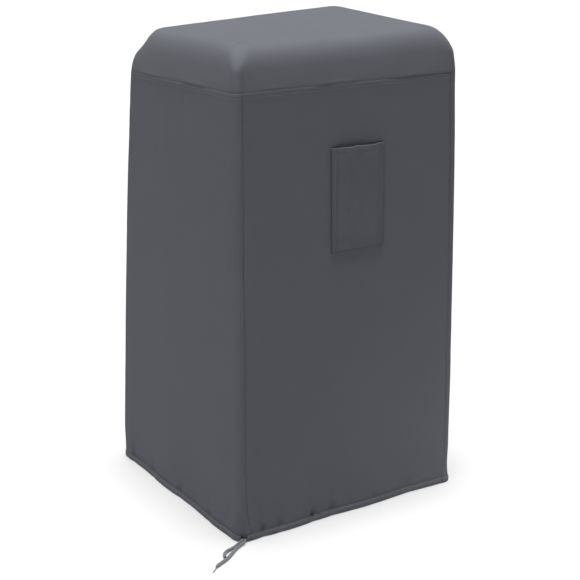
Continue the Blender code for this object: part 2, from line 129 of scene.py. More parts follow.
# Small gathers at the hem's stitch line: place along the wall, how deep, half width, height of the middle
GATHERS = {
    "front": (
        (-0.1735, 0.0020, 0.0050, 0.014), (-0.157, 0.0005, 0.0035, 0.016), (-0.1405, 0.0014, 0.0045, 0.015),
        (-0.1180, 0.0007, 0.0040, 0.015), (-0.1000, 0.0005, 0.0030, 0.022), (-0.0745, 0.0024, 0.0048, 0.014),
        (-0.0800, 0.0008, 0.0040, 0.034), (-0.0560, 0.0006, 0.0030, 0.016), (-0.0346, 0.0016, 0.0050, 0.015),
        (0.0030, 0.0008, 0.0045, 0.015), (0.0240, 0.0005, 0.0030, 0.014), (0.0520, 0.0008, 0.0050, 0.014),
        (0.0900, 0.0006, 0.0040, 0.014), (0.1280, 0.0010, 0.0050, 0.014), (0.1600, 0.0005, 0.0040, 0.014),
    ),
    "left": (
        (-0.160, 0.0014, 0.0050, 0.014), (-0.120, 0.0006, 0.0040, 0.015), (-0.085, 0.0009, 0.0045, 0.015),
        (-0.040, 0.0005, 0.0040, 0.014), (0.010, 0.0012, 0.0050, 0.014), (0.060, 0.0006, 0.0040, 0.015),
        (0.110, 0.0010, 0.0045, 0.014), (0.150, 0.0008, 0.0040, 0.014),
    ),
    "right": (
        (-0.120, 0.0010, 0.0050, 0.014), (-0.070, 0.0006, 0.0040, 0.015), (-0.020, 0.0014, 0.0050, 0.014),
        (0.040, 0.0006, 0.0040, 0.015), (0.095, 0.0012, 0.0050, 0.014), (0.145, 0.0006, 0.0040, 0.014),
    ),
    "back": (
        (-0.150, 0.0010, 0.0050, 0.014), (-0.100, 0.0006, 0.0040, 0.015), (-0.040, 0.0014, 0.0050, 0.014),
        (0.010, 0.0006, 0.0040, 0.015), (0.060, 0.0010, 0.0050, 0.014), (0.100, 0.0006, 0.0040, 0.014),
        (0.140, 0.0012, 0.0050, 0.014),
    ),
}

# Creases of the walls: start (along, height), end (along, height), half width, depth; a ridge is negative
CREASES = {
    "front": (
        ((-0.176, 0.7125), (-0.066, 0.7060), 0.0018, 0.00035),
        ((-0.182, 0.690), (-0.176, 0.655), 0.004, 0.0003),
        ((0.060, 0.700), (0.150, 0.694), 0.005, 0.00025), ((0.176, 0.400), (0.178, 0.290), 0.007, 0.0006),
        ((0.172, 0.250), (0.168, 0.170), 0.009, 0.0005), ((-0.150, 0.330), (-0.040, 0.250), 0.016, 0.0003),
        ((0.020, 0.400), (0.110, 0.330), 0.018, -0.0003),
    ),
    "left": (
        ((0.021, 0.720), (0.020, 0.640), 0.006, 0.0006), ((-0.060, 0.700), (-0.066, 0.560), 0.010, 0.0004),
        ((0.157, 0.520), (0.156, 0.380), 0.010, -0.0005), ((0.090, 0.640), (0.160, 0.560), 0.014, -0.0004),
        ((-0.090, 0.420), (-0.050, 0.300), 0.012, 0.0004), ((0.030, 0.300), (0.110, 0.200), 0.016, 0.0004),
    ),
    "right": (
        ((-0.060, 0.700), (-0.020, 0.560), 0.010, 0.0005), ((0.050, 0.420), (0.090, 0.280), 0.012, 0.0005),
        ((-0.120, 0.330), (-0.060, 0.250), 0.012, -0.0004),
    ),
    "back": (
        ((-0.120, 0.700), (-0.060, 0.560), 0.012, 0.0005), ((0.050, 0.500), (0.120, 0.380), 0.014, 0.0005),
        ((-0.060, 0.300), (0.030, 0.220), 0.014, -0.0004), ((0.110, 0.690), (0.090, 0.600), 0.008, 0.0004),
    ),
}

# Where the cap's cloth hangs over its seam: side, from, to, how far
OVERHANGS = (
    ("front", -0.158, -0.108, 0.0003), ("front", -0.058, 0.024, 0.0005), ("front", 0.104, 0.165, 0.0004),
    ("left", -0.120, -0.060, 0.0006), ("left", 0.020, 0.100, 0.0006), ("right", -0.100, 0.000, 0.0007),
    ("back", -0.140, -0.040, 0.0007), ("back", 0.050, 0.130, 0.0006),
)

# Creases of the cap, in millimetres: start, end, half width, depth
CAP_CREASES = (
    ((-196, 150, 772), (-184, 166, 768), 2.2, 0.9), ((-188, 142, 782), (-176, 158, 780), 2.0, -0.7),
    ((-170, 140, 786), (-182, 124, 783), 3.0, 0.5), ((200, -160, 776), (206, -140, 779), 2.0, 0.6),
    ((206, -172, 762), (214, -150, 764), 2.0, 0.5), ((186, -166, 784), (196, -150, 789), 2.5, -0.5),
    ((-190, -168, 786), (-178, -150, 797), 2.6, 0.5), ((-196, -160, 780), (-186, -140, 793), 2.6, -0.4),
    ((196, 150, 780), (182, 136, 793), 2.6, 0.6), ((-60, -120, 797), (40, -90, 796), 14.0, 0.5),
    ((20, 60, 796), (120, 30, 797), 16.0, 0.5), ((-120, 40, 795), (-60, 90, 794), 12.0, -0.4),
)

# Patch pocket on the front wall, and its stitch rows
POCKET_X, POCKET_Z = (-0.0393, 0.0622), (0.459, 0.6295)
POCKET_GAP = 0.0003
POCKET_SWELL, POCKET_GAPE, POCKET_FULLNESS = 0.0022, 0.0066, 0.8
POCKET_FOOT, POCKET_OPENS = 0.2, 0.45
POCKET_HEM = 0.010
POCKET_FOLD = 0.0014        # how far its folded edges stand up
LEFT_ROWS, RIGHT_ROWS, BOTTOM_ROWS = (0.0032, 0.0098), (0.0022, 0.0088), (0.0030,)
ROW_WIDTH, ROW_SHADE_WIDTH = 0.0008, 0.0012
# Relief beside the pocket's sewn sides: distance from the side, height, half width
LEFT_RELIEF = ((0.0065, 0.0004, 0.0020), (0.0125, -0.0005, 0.0020))
RIGHT_RELIEF = ((0.0055, 0.0004, 0.0022), (0.0115, -0.0005, 0.0018))
# Tufts of the mouth: place across from its left edge, height that the edge rises, how far out, half width
MOUTH_TUFTS = (
    (0.012, 0.0004, 0.0006, 0.0030), (0.021, 0.0008, 0.0009, 0.0030), (0.032, 0.0002, 0.0008, 0.0032),
    (0.044, 0.0020, 0.0012, 0.0048), (0.056, 0.0004, 0.0004, 0.0040), (0.078, -0.0008, -0.0004, 0.0080),
)
# Tufts along the bottom seam: place across, how far out, half width
FOOT_TUFTS = (
    (0.020, 0.0007, 0.0035), (0.030, 0.0009, 0.0030), (0.043, 0.0006, 0.0030), (0.053, 0.0009, 0.0032),
    (0.070, 0.0009, 0.0036), (0.082, 0.0010, 0.0036), (0.093, 0.0006, 0.0030),
)

# Eyelet in the hem, and the two ends of the drawstring
EYELET_STATION, EYELET_HEIGHT = 7.68, 0.0072
EYELET_FLANGE_RADIUS, EYELET_HOLE_RADIUS, EYELET_BARREL_RADIUS = 0.0060, 0.0040, 0.0046
EYELET_FLANGE, EYELET_DEPTH = 0.0008, 0.0034
EYELET_CLEAR = 0.0050       # radius of the hole in the cloth
EYELET_LIFT = 0.0003        # how far its flange stands off the cloth
BRAID_YARNS, BRAID_LAY = 6.0, 0.00042
TIE_STEP, TIE_SIDES, TIE_CLEAR = 0.0006, 36, 0.00005

# Routes of the two ends from the eyelet, in millimetres:
# outwards, aside, height over the floor, share of the full diameter
SHORT_END_ROUTE = (
    (-2.4, -1.9, 6.6, 0.64), (0.6, -2.0, 6.5, 0.64), (4.0, -3.2, 6.1, 0.68), (7.6, -6.0, 5.3, 0.74),
    (11.5, -9.6, 4.3, 0.80), (15.8, -13.2, 3.4, 0.84), (20.4, -16.9, 2.9, 0.88), (25.0, -21.0, 2.8, 0.94),
    (29.2, -25.2, 2.8, 1.0), (33.8, -28.8, 2.8, 1.0), (38.6, -31.0, 2.8, 1.0), (43.6, -32.0, 2.8, 1.0),
    (48.0, -32.0, 2.8, 0.94), (51.4, -31.6, 2.8, 0.84),
)
LONG_END_ROUTE = (
    (-2.4, 1.9, 6.6, 0.64), (0.6, 1.9, 6.4, 0.64), (4.4, 1.6, 5.6, 0.70), (8.8, -0.6, 4.4, 0.78),
    (13.2, -4.4, 3.3, 0.84), (18.6, -8.9, 2.8, 0.88), (25.4, -13.2, 2.8, 0.96), (32.4, -16.6, 2.8, 1.0),
    (38.7, -19.3, 2.8, 1.0), (45.5, -22.3, 2.8, 1.0), (52.7, -25.7, 2.8, 1.0), (59.6, -29.8, 2.8, 1.0),
    (65.8, -34.2, 2.8, 1.0), (71.6, -38.6, 2.8, 1.0), (77.0, -42.4, 2.8, 1.0), (80.4, -44.4, 2.6, 0.85),
    (82.8, -45.4, 2.1, 0.50), (85.2, -46.2, 1.6, 0.34), (90.0, -48.0, 1.2, 0.28), (95.0, -50.4, 1.2, 0.26),
)
CURVE_STEPS = 12

# Grids of the sheets
FLAT_COLUMNS = {"front": 120, "right": 100, "back": 100, "left": 110}
WALL_ROWS = {"front": 200, "right": 150, "back": 150, "left": 190}
TURN_COLUMNS = 14
CAP_COLUMNS, CAP_ROWS = 96, 76
DROP_RINGS, ROUND_RINGS = 14, 20
CORNER_CROWDING = 1.5
POCKET_COLUMNS, POCKET_ROWS = 100, 130
# Closer rows and columns: stretches of a wall over the floor and under the seam, then places on the
# pocket from its sewn sides and from its bottom, with the step to the even ones
HEM_STRETCH, TOP_STRETCH = 0.030, 0.014
POCKET_SIDE_PLACES = (0.0, 0.0003, 0.0007, 0.0012, 0.0018, 0.0024, 0.0029, 0.0034, 0.0040, 0.0048, 0.0056)
POCKET_LOW_PLACES = (0.0, 0.0003, 0.0007, 0.0012, 0.0018, 0.0024, 0.0030, 0.0036, 0.0044, 0.0052)
POCKET_STEP = 0.0010

# Lights: where the soft side light comes from, and the low light's size, place and target
SIDE_LIGHT_FROM = (-0.84, -0.48, 0.26)
CORNER_LIGHT_SIZE, CORNER_LIGHT_PLACE, CORNER_LIGHT_TARGET = 0.10, (0.40, -0.42, 0.05), (0.20, -0.20, 0.06)
FLOOR_HALF, FLOOR_DROP = 12.0, 0.0002

# Corners of the plan in the order of the stations: signs of x and y
PLAN_X, PLAN_Y = np.array((1.0, 1.0, -1.0, -1.0)), np.array((-1.0, 1.0, 1.0, -1.0))


def mix(low, high, share):
    """The value that lies the given share of the way from low to high."""
    return low + (high - low) * share


def ease(share):
    """A share held to 0..1, with soft ends."""
    share = np.clip(share, 0.0, 1.0)
    return share * share * (3.0 - 2.0 * share)


def fade(value, start, end):
    """How far a value has come from start to end, as a share with soft ends."""
    return ease((value - start) / (end - start))


def hump(distance, half_width):
    """A soft bump of height 1 around zero."""
    return np.exp(-((distance / half_width) ** 2))


def undulation(u, v, size, seed):
    """Soft random waves between -1 and 1, the same each run."""
    cells = 61
    table = np.random.default_rng(seed).uniform(-1.0, 1.0, (cells, cells))
    column, row = np.floor(u / size).astype(int), np.floor(v / size).astype(int)
    s, t = ease(u / size - column), ease(v / size - row)

    def corner(right, up):
        return table[(column + right) % cells, (row + up) % cells]

    return mix(mix(corner(0, 0), corner(1, 0), s), mix(corner(0, 1), corner(1, 1), s), t)


def from_line(points, start, end):
    """Distance of points from a straight line between two places, in two or three dimensions."""
    start, run = np.array(start), np.subtract(end, start)
    share = np.clip((points - start) @ run / (run @ run), 0.0, 1.0)
    return np.linalg.norm(points - start - share[..., None] * run, axis=-1)


def half_sizes(z):
    """Half width and half depth of the cover at a height, with the walls' soft bow."""
    share = z / HEIGHT
    room = np.where(share < BOW_CROWN, BOW_CROWN, 1.0 - BOW_CROWN)
    bow = BOW * np.maximum(0.0, 1.0 - ((share - BOW_CROWN) / room) ** 2)
    return mix(HALF_WIDTH_HEM, HALF_WIDTH_TOP, share) + bow, mix(HALF_DEPTH_HEM, HALF_DEPTH_TOP, share) + bow


def corner_radius(z):
    """Radius of the upright corners, which grow blunt towards the hem."""
    return mix(HEM_CORNER_RADIUS, CORNER_RADIUS, ease(z / BLUNT_HEIGHT))


def flat_length(side, z):
    """Length of a wall's flat part at a height."""
    half = half_sizes(z)[0 if side in ("front", "back") else 1]
    return 2.0 * (half - corner_radius(z))


def outline(station, half_width, half_depth, radius):
    """Point and outward normal on the rounded plan, at stations 0 to 8 round it from the front's left end."""
    station = np.mod(station, 8.0)
    side = (station // 2.0).astype(int)
    share = station - 2.0 * side
    turn = (side - 1.0 + np.maximum(share - 1.0, 0.0)) * pi / 2.0
    reach = np.minimum(share, 1.0)
    normal_x, normal_y = np.cos(turn), np.sin(turn)
    x = mix(PLAN_X[side - 1], PLAN_X[side], reach) * (half_width - radius) + normal_x * radius
    y = mix(PLAN_Y[side - 1], PLAN_Y[side], reach) * (half_depth - radius) + normal_y * radius
    return x, y, normal_x, normal_y


def corner_shift(x, y, z):
    """How far the cloth at points is pulled by the shifts of the four corners."""
    half_width, half_depth = half_sizes(z)
    u = np.clip(x / half_width, -1.0, 1.0)
    v = np.clip(y / half_depth, -1.0, 1.0)
    rise = z / HEIGHT
    lift = ease((z - LIFT_START) / (HEIGHT - LIFT_START))
    shift = np.zeros((len(x), 3))
    for sign_x, sign_y, hem, top in CORNERS:
        weight = (1.0 + sign_x * u) * (1.0 + sign_y * v) / 4.0
        shift[:, 0] += weight * mix(hem[0], top[0], rise)
        shift[:, 1] += weight * mix(hem[1], top[1], rise)
        shift[:, 2] += weight * top[2] * lift
    for sign_x, sign_y, height, inwards, down, reach in PINCHES:
        gap = np.sqrt((x - sign_x * half_width) ** 2 + (y - sign_y * half_depth) ** 2 + (z - height) ** 2)
        shift -= hump(gap, reach)[:, None] * np.array((sign_x * inwards, sign_y * inwards, down))
    return shift


def pucker(side, along, z):
    """How far the drawstring and the slow waves move a wall outwards."""
    above = np.maximum(z - HEM_HEIGHT, 0.0) / PUCKER_RISE
    below = np.maximum(HEM_HEIGHT - z, 0.0) / HEM_HEIGHT
    reach = np.exp(-above) * mix(1.0, PUCKER_AT_FLOOR, below)
    pinch = sum(depth * hump(along - place, width) for place, depth, width in PUCKERS[side])
    wave = SWELL * np.sin(2.0 * pi * along / SWELL_LENGTH + SIDES.index(side)) * np.exp(-z / SWELL_RISE)
    return wave - pinch * reach


def roll(z):
    """Outward swelling of the hem and the dip of its stitch line."""
    swelling = HEM_ROLL * np.sin(pi * np.clip((z + 0.002) / (HEM_HEIGHT + 0.002), 0.0, 1.0))
    stitch = -0.0007 * hump(z - HEM_HEIGHT, 0.0012)
    return np.where(z < HEM_HEIGHT, swelling, 0.0) + stitch


def wall_relief(side, along, z):
    """Seams, creases, gathers and soft unevenness of a wall, outwards."""
    seed = SIDES.index(side)
    below = CAP_SEAM - z
    (broad, broad_size), (fine, fine_size) = WALL_WAVES
    relief = broad * undulation(along + 1.0, z + 1.0, broad_size, seed)
    relief += fine * undulation(along, z, fine_size, seed + 9)
    relief += sum(height * hump(below - place, half) for place, height, half in UNDER_SEAM)
    relief += fine * undulation(along, z * 0.3, 0.009, seed + 20) * hump(below - 0.004, 0.008)
    seam = from_upright_seam(side, along, z)
    relief += sum(height * hump(seam, half) for height, half in BESIDE_SEAM)
    relief += 0.00025 * undulation(along * 0.3, z, 0.011, seed + 30) * hump(seam, 0.007)
    places = np.stack((along, z), axis=-1)
    for start, end, width, depth in CREASES[side]:
        relief -= depth * hump(from_line(places, start, end), width)
    for place, depth, width, height in GATHERS[side]:
        fold = hump(along - place, width) - 0.35 * hump(np.abs(along - place) - 2.1 * width, 0.8 * width)
        relief -= depth * fold * hump(z - height, 0.0085)
    small = undulation(along, z * 0.4, 0.0065, seed + 40)
    return relief + 0.00030 * small * hump(z - HEM_HEIGHT - 0.003, 0.008)


def from_upright_seam(side, along, z):
    """Distance of places on a wall from its nearer upright seam."""
    edge = flat_length(side, z) / 2.0 - np.abs(along)
    return np.abs(edge - SEAM_LIP) if side in ("front", "back") else np.abs(edge + edge_wrap(z) + SEAM_LIP)


def edge_wrap(z):
    """Length of the quarter turn round an upright corner."""
    return corner_radius(z) * pi / 2.0


def wall_point(station, z, out, side):
    """Points of a wall's outer face, moved out, with the distance along it from its middle."""
    half_width, half_depth = half_sizes(z)
    radius = corner_radius(z)
    x, y, normal_x, normal_y = outline(station, half_width, half_depth, radius)
    index = SIDES.index(side)
    flat = flat_length(side, z)
    lead = (np.asarray(station) - 2.0 * index + 4.0) % 8.0 - 4.0
    wrap = edge_wrap(z)
    before, after = np.minimum(lead, 0.0), np.maximum(lead - 1.0, 0.0)
    broad = flat_length("front", z)
    along = (np.clip(lead, 0.0, 1.0) - 0.5) * flat
    along += np.clip(before, -1.0, 0.0) * wrap + np.minimum(after, 1.0) * wrap
    along += np.minimum(before + 1.0, 0.0) * broad + np.maximum(after - 1.0, 0.0) * broad
    calm = ease((flat / 2.0 - np.abs(along) + CORNER_RADIUS - HEM_CORNER_RADIUS) / CORNER_CALM)
    move = out + pucker(side, along, z) * calm
    points = np.stack((x + normal_x * move, y + normal_y * move, z), axis=-1)
    return points + corner_shift(x, y, z), along


def cap_surface(column, row, columns, rows, rings):
    """Points of the cap's outer face, its outward normals and its cloth coordinates."""
    border = len(rings["z"]) - 1
    flat_x, flat_y = HALF_WIDTH_TOP - TOP_ROUND, HALF_DEPTH_TOP - TOP_ROUND
    from_side = np.minimum(np.minimum(column, columns - column), border)
    from_end = np.minimum(np.minimum(row, rows - row), border)
    ring = np.minimum(from_side, from_end)
    from_corner = np.minimum(np.maximum(from_side, from_end) - ring, border) / border
    soft, profile = mix(SOFTNESS_AT_CORNER, 1.0, ease(from_corner)), ("z", "inset", "tilt")
    z, inset, tilt = (mix(rings[key][ring], rings["soft_" + key][ring], soft) for key in profile)
    radius = rings["radius"][ring]
    half_width, half_depth = (half - inset for half in half_sizes(z))
    x, turn_x = along_ring(column, columns, ring, border, half_width, flat_x, radius)
    y, turn_y = along_ring(row, rows, ring, border, half_depth, flat_y, radius)
    across = from_side <= from_end
    flat = ring == border
    side_x, side_y = np.where(column > columns / 2, 1.0, -1.0), np.where(row > rows / 2, 1.0, -1.0)
    normal_x = np.where(across, side_x * np.cos(turn_y), side_x * np.sin(turn_x))
    normal_y = np.where(across, side_y * np.sin(turn_y), side_y * np.cos(turn_x))
    reach_x, reach_y = half_width - radius, half_depth - radius
    base_x = np.where(across, side_x * reach_x, np.clip(x, -reach_x, reach_x))
    base_y = np.where(across, np.clip(y, -reach_y, reach_y), side_y * reach_y)
    point_x = np.where(flat, x, base_x + normal_x * radius)
    point_y = np.where(flat, y, base_y + normal_y * radius)
    dip = np.where(flat, TOP_SAG * (1.0 - (x / flat_x) ** 2) * (1.0 - (y / flat_y) ** 2), 0.0)
    facing = np.stack((normal_x * np.cos(tilt), normal_y * np.cos(tilt), np.sin(tilt)), axis=-1)
    facing[flat] = (0.0, 0.0, 1.0)
    settled = fade(-point_y, *FALL_FORWARD) * fade(-point_x, *FALL_LEFTWARD) * fade(point_x, *FALL_AT_CORNER)
    dip += EDGE_FALL * settled * fade(z, CAP_SEAM, HEIGHT)
    points = np.stack((point_x, point_y, z - dip), axis=-1) + corner_shift(point_x, point_y, z)
    drop = rings["drop"][ring]
    cloth_x = np.where(flat, x, np.where(across, side_x * (flat_x + drop), x + side_x * turn_x * radius))
    cloth_y = np.where(flat, y, np.where(across, y + side_y * turn_y * radius, side_y * (flat_y + drop)))
    return points, facing, np.stack((cloth_x, cloth_y), axis=-1)


def along_ring(step, last, ring, border, half, flat_half, radius):
    """Place along one side of a cap ring, from the side's middle, and the turn into the corner."""
    inside = (step >= border) & (step <= last - border)
    sign = np.where(step < border, -1.0, 1.0)
    past_flat = border - np.minimum(step, last - step)
    share = 1.0 - np.abs(1.0 - past_flat / np.maximum(border - ring, 1)) ** CORNER_CROWDING
    straight = np.maximum(half - radius - flat_half, 0.0)
    way = share * (straight + radius * pi / 4.0)
    turn = np.where(inside, 0.0, np.maximum(way - straight, 0.0) / radius)
    along = sign * (flat_half + np.minimum(way, straight))
    return np.where(inside, mix(-flat_half, flat_half, (step - border) / (last - 2 * border)), along), turn


def cap_rings():
    """Rings of the cap from its seam up: height, inset, tilt, corner radius and length down from the top."""
    start = HEIGHT - TOP_ROUND
    rise = np.linspace(0.0, 1.0, DROP_RINGS, endpoint=False) ** 1.25
    tilt = np.concatenate((np.zeros(DROP_RINGS), np.linspace(0.0, pi / 2.0, ROUND_RINGS + 1)))
    z = np.concatenate((mix(CAP_SEAM, start, rise), start + TOP_ROUND * np.sin(tilt[DROP_RINGS:])))
    radius = mix(CORNER_RADIUS, CAP_CORNER_RADIUS, np.sin(2.0 * tilt))
    drop = TOP_ROUND * (pi / 2.0 - tilt) + np.maximum(start - z, 0.0)
    inset = TOP_ROUND * (1.0 - np.cos(tilt))
    soft_z, soft_inset, soft_tilt = soft_profile(z, inset)
    return {"z": z, "inset": inset, "tilt": tilt, "radius": radius, "drop": drop,
            "soft_z": soft_z, "soft_inset": soft_inset, "soft_tilt": soft_tilt}


def soft_profile(z, inset):
    """The same rings on the softer profile of the cloth, which leans in from the seam on."""
    rise = CAP_DEPTH * np.sin(np.linspace(0.0, pi / 2.0, 400))
    lean = TOP_ROUND * (1.0 - (1.0 - (rise / CAP_DEPTH) ** BAND_POWER) ** (1.0 / EDGE_POWER))
    way = np.concatenate(([0.0], np.cumsum(np.hypot(np.diff(rise), np.diff(lean)))))
    share = np.concatenate(([0.0], np.cumsum(np.hypot(np.diff(z), np.diff(inset)))))
    at = share / share[-1] * way[-1]
    turn = np.arctan2(np.gradient(lean), np.gradient(rise))
    return CAP_SEAM + np.interp(at, way, rise), np.interp(at, way, lean), np.interp(at, way, turn)


def grid_sheet(name, columns, rows, hang, thickness):
    """A sheet of cloth: a flat grid hung by hang(column, row), with cloth coordinates and a painted shade."""
    form = bmesh.new()
    bmesh.ops.create_grid(form, x_segments=columns, y_segments=rows, size=0.5)
    mesh = bpy.data.meshes.new(name)
    form.to_mesh(mesh)
    form.free()
    flat = np.empty(len(mesh.vertices) * 3)
    mesh.vertices.foreach_get("co", flat)
    column = np.rint((flat[0::3] + 0.5) * columns).astype(int)
    row = np.rint((flat[1::3] + 0.5) * rows).astype(int)
    points, cloth, shade = hang(column, row)
    mesh.vertices.foreach_set("co", points.astype(np.float32).ravel())
    corner = np.empty(len(mesh.loops), dtype=np.int32)
    mesh.loops.foreach_get("vertex_index", corner)
    mesh.uv_layers.new(name="cloth").data.foreach_set("uv", cloth[corner].astype(np.float32).ravel())
    mesh.attributes.new("shade", "FLOAT", "POINT").data.foreach_set("value", shade.astype(np.float32))
    mesh.shade_smooth()
    thing = bpy.data.objects.new(name, mesh)
    bpy.context.scene.collection.objects.link(thing)
    if thickness:
        wall = thing.modifiers.new("thickness", "SOLIDIFY")
        wall.thickness = thickness
        wall.offset = -1.0
    return thing


def fit(piece, node, finish):
    """Give a piece its finish, and let it stand for its node on the one body."""
    piece.data.materials.clear()
    piece.data.materials.append(finish)
    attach(piece, "root")
    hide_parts(node)


def wall_heights(rows):
    """Height and outward place of each row of a wall: down the hem's inner leg, round its fold and up."""
    inner = np.linspace(0.0, 1.0, 6)
    front = float(roll(np.array(HEM_BEND)))
    leg_z = mix(HEM_HEIGHT - 0.0006, HEM_BEND, inner)
    leg_out = mix(-HEM_INSIDE, front - 2.0 * HEM_BEND, inner)
    turn = np.linspace(pi, 0.0, 9)[1:-1]
    fold_z = HEM_BEND * (1.0 - np.sin(turn) ** 0.7)
    fold_out = front - HEM_BEND + HEM_BEND * np.cos(turn)
    low = np.linspace(HEM_BEND, HEM_STRETCH, 18, endpoint=False)
    high = np.linspace(CAP_SEAM - TOP_STRETCH, CAP_SEAM - 0.0002, 12)
    middle = np.linspace(HEM_STRETCH, CAP_SEAM - TOP_STRETCH, rows - 40, endpoint=False)
    face = np.concatenate((low, middle, high))
    tuck_z, tuck_out = np.array((CAP_SEAM + 0.0008, CAP_SEAM + 0.0022)), np.array((-0.0020, -0.0022))
    z = np.concatenate((leg_z, fold_z, face, tuck_z))
    out = np.concatenate((leg_out, fold_out, np.zeros(len(face)), tuck_out))
    on_face = np.concatenate((np.zeros(len(leg_z) + len(fold_z)), np.ones(len(face)), np.zeros(2)))
    length = np.concatenate(([0.0], np.cumsum(np.hypot(np.diff(z), np.diff(out)))))
    return z, out, on_face, length


def wall_stations(side):
    """Stations of a wall's columns, with the corners that the narrow walls wrap."""
    first = 2 * SIDES.index(side)
    lip = SEAM_LIP / float(flat_length("front", np.array(HEIGHT / 2.0)))
    hair = 0.00015 / float(flat_length("front", np.array(HEIGHT / 2.0)))
    flat = np.linspace(0.0, 1.0, FLAT_COLUMNS[side] + 1)
    if side in ("front", "back"):
        inner = mix(lip + 0.010, 0.990 - lip, flat)
        edge = lip + hair + np.array((0.0, 0.002, 0.004, 0.0065))
        return first + np.concatenate((edge, inner, 1.0 - edge[::-1]))
    turn = np.linspace(0.0, 1.0, TURN_COLUMNS, endpoint=False)
    lead = -1.0 - (lip - hair) * np.array((1.0, 0.7, 0.35))
    before = np.concatenate((lead, -1.0 + turn))
    return first + np.concatenate((before, flat, 1.0 - before[::-1]))


def wall(side, thickness):
    """One wall, from the cap's seam down to the floor and round its hem."""
    stations = wall_stations(side)
    heights, outs, on_face, length = wall_heights(WALL_ROWS[side])

    def hang(column, row):
        z, out, face = heights[row], outs[row], on_face[row]
        _, along = wall_point(stations[column], z, 0.0, side)
        relief = wall_relief(side, along, z)
        move = np.where(face > 0.5, roll(z) + relief, out + 0.3 * np.where(z > HEIGHT / 2.0, 0.0, relief))
        points, along = wall_point(stations[column], z, move, side)
        points[:, 2] = np.maximum(points[:, 2], 0.0)
        return points, np.stack((along, length[row]), axis=-1), seam_shade(side, along, z, relief)

    return grid_sheet(f"{side}_cloth", len(stations) - 1, len(heights) - 1, hang, thickness)


def seam_shade(side, along, z, relief):
    """Painted shade of the cloth in seams, in folds and under the hem's stitches, from 0 to 1."""
    dark = 0.08 * hump(from_upright_seam(side, along, z), 0.0030)
    dark += 0.05 * hump(CAP_SEAM - z, 0.0022) + 0.25 * hump(z - HEM_HEIGHT, 0.0022)
    return np.clip(dark + np.clip(-relief / FULL_SHADE - 0.25, 0.0, 1.0) * 0.6, 0.0, 1.0)


def cap_relief(points, cloth, z):
    """Seam, overhangs, creases and soft unevenness of the cap, outwards."""
    above = z - CAP_SEAM
    across, up = cloth[:, 0] + 1.0, cloth[:, 1] + 1.0
    waves = enumerate(CAP_WAVES, 5)
    relief = sum(height * undulation(across, up, size, seed) for seed, (height, size) in waves)
    relief -= 0.00015 * hump(above, 0.0014)
    x, y = points[:, 0], points[:, 1]
    forward, rightward = -y / HALF_DEPTH_TOP, x / HALF_WIDTH_TOP
    sides = {"front": (x, forward), "back": (-x, -forward), "right": (y, rightward), "left": (-y, -rightward)}
    for side, start, end, depth in OVERHANGS:
        along, facing = sides[side]
        reach = ease((along - start) / 0.015) * ease((end - along) / 0.015) * fade(facing, 0.9, 0.95)
        relief += depth * reach * hump(above - 0.0035, 0.0030)
    for side in ("front", "back"):
        along, facing = sides[side]
        from_middle = np.abs(along - 0.009 * np.sign(facing))
        seam = np.abs(HALF_WIDTH_TOP - CORNER_RADIUS - SEAM_LIP + 0.001 - from_middle)
        relief -= 0.0005 * hump(seam, 0.0030) * fade(facing, 0.92, 0.97) * ease((0.030 - above) / 0.020)
    for start, end, width, depth in CAP_CREASES:
        away = from_line(points, np.array(start) / 1000.0, np.array(end) / 1000.0)
        relief -= depth / 1000.0 * hump(away, width / 1000.0)
    return relief


def cap(thickness):
    """The cap: flat top, soft rounded edge and the band down to the seam."""
    rings = cap_rings()
    border = len(rings["z"]) - 1
    columns, rows = CAP_COLUMNS + 2 * border, CAP_ROWS + 2 * border

    def hang(column, row):
        points, facing, cloth = cap_surface(column, row, columns, rows, rings)
        ring = np.minimum.reduce((column, columns - column, row, rows - row, np.full_like(row, border)))
        z = rings["z"][ring]
        relief = cap_relief(points, cloth, z)
        # Painted shade: darker along the cap's seam and in its folds
        dark = 0.05 * hump(z - CAP_SEAM, 0.0022) + np.clip(-relief / FULL_SHADE - 0.3, 0.0, 1.0) * 0.4
        return points + facing * relief[:, None], cloth, np.clip(dark, 0.0, 1.0)

    return grid_sheet("cap_cloth", columns, rows, hang, thickness)


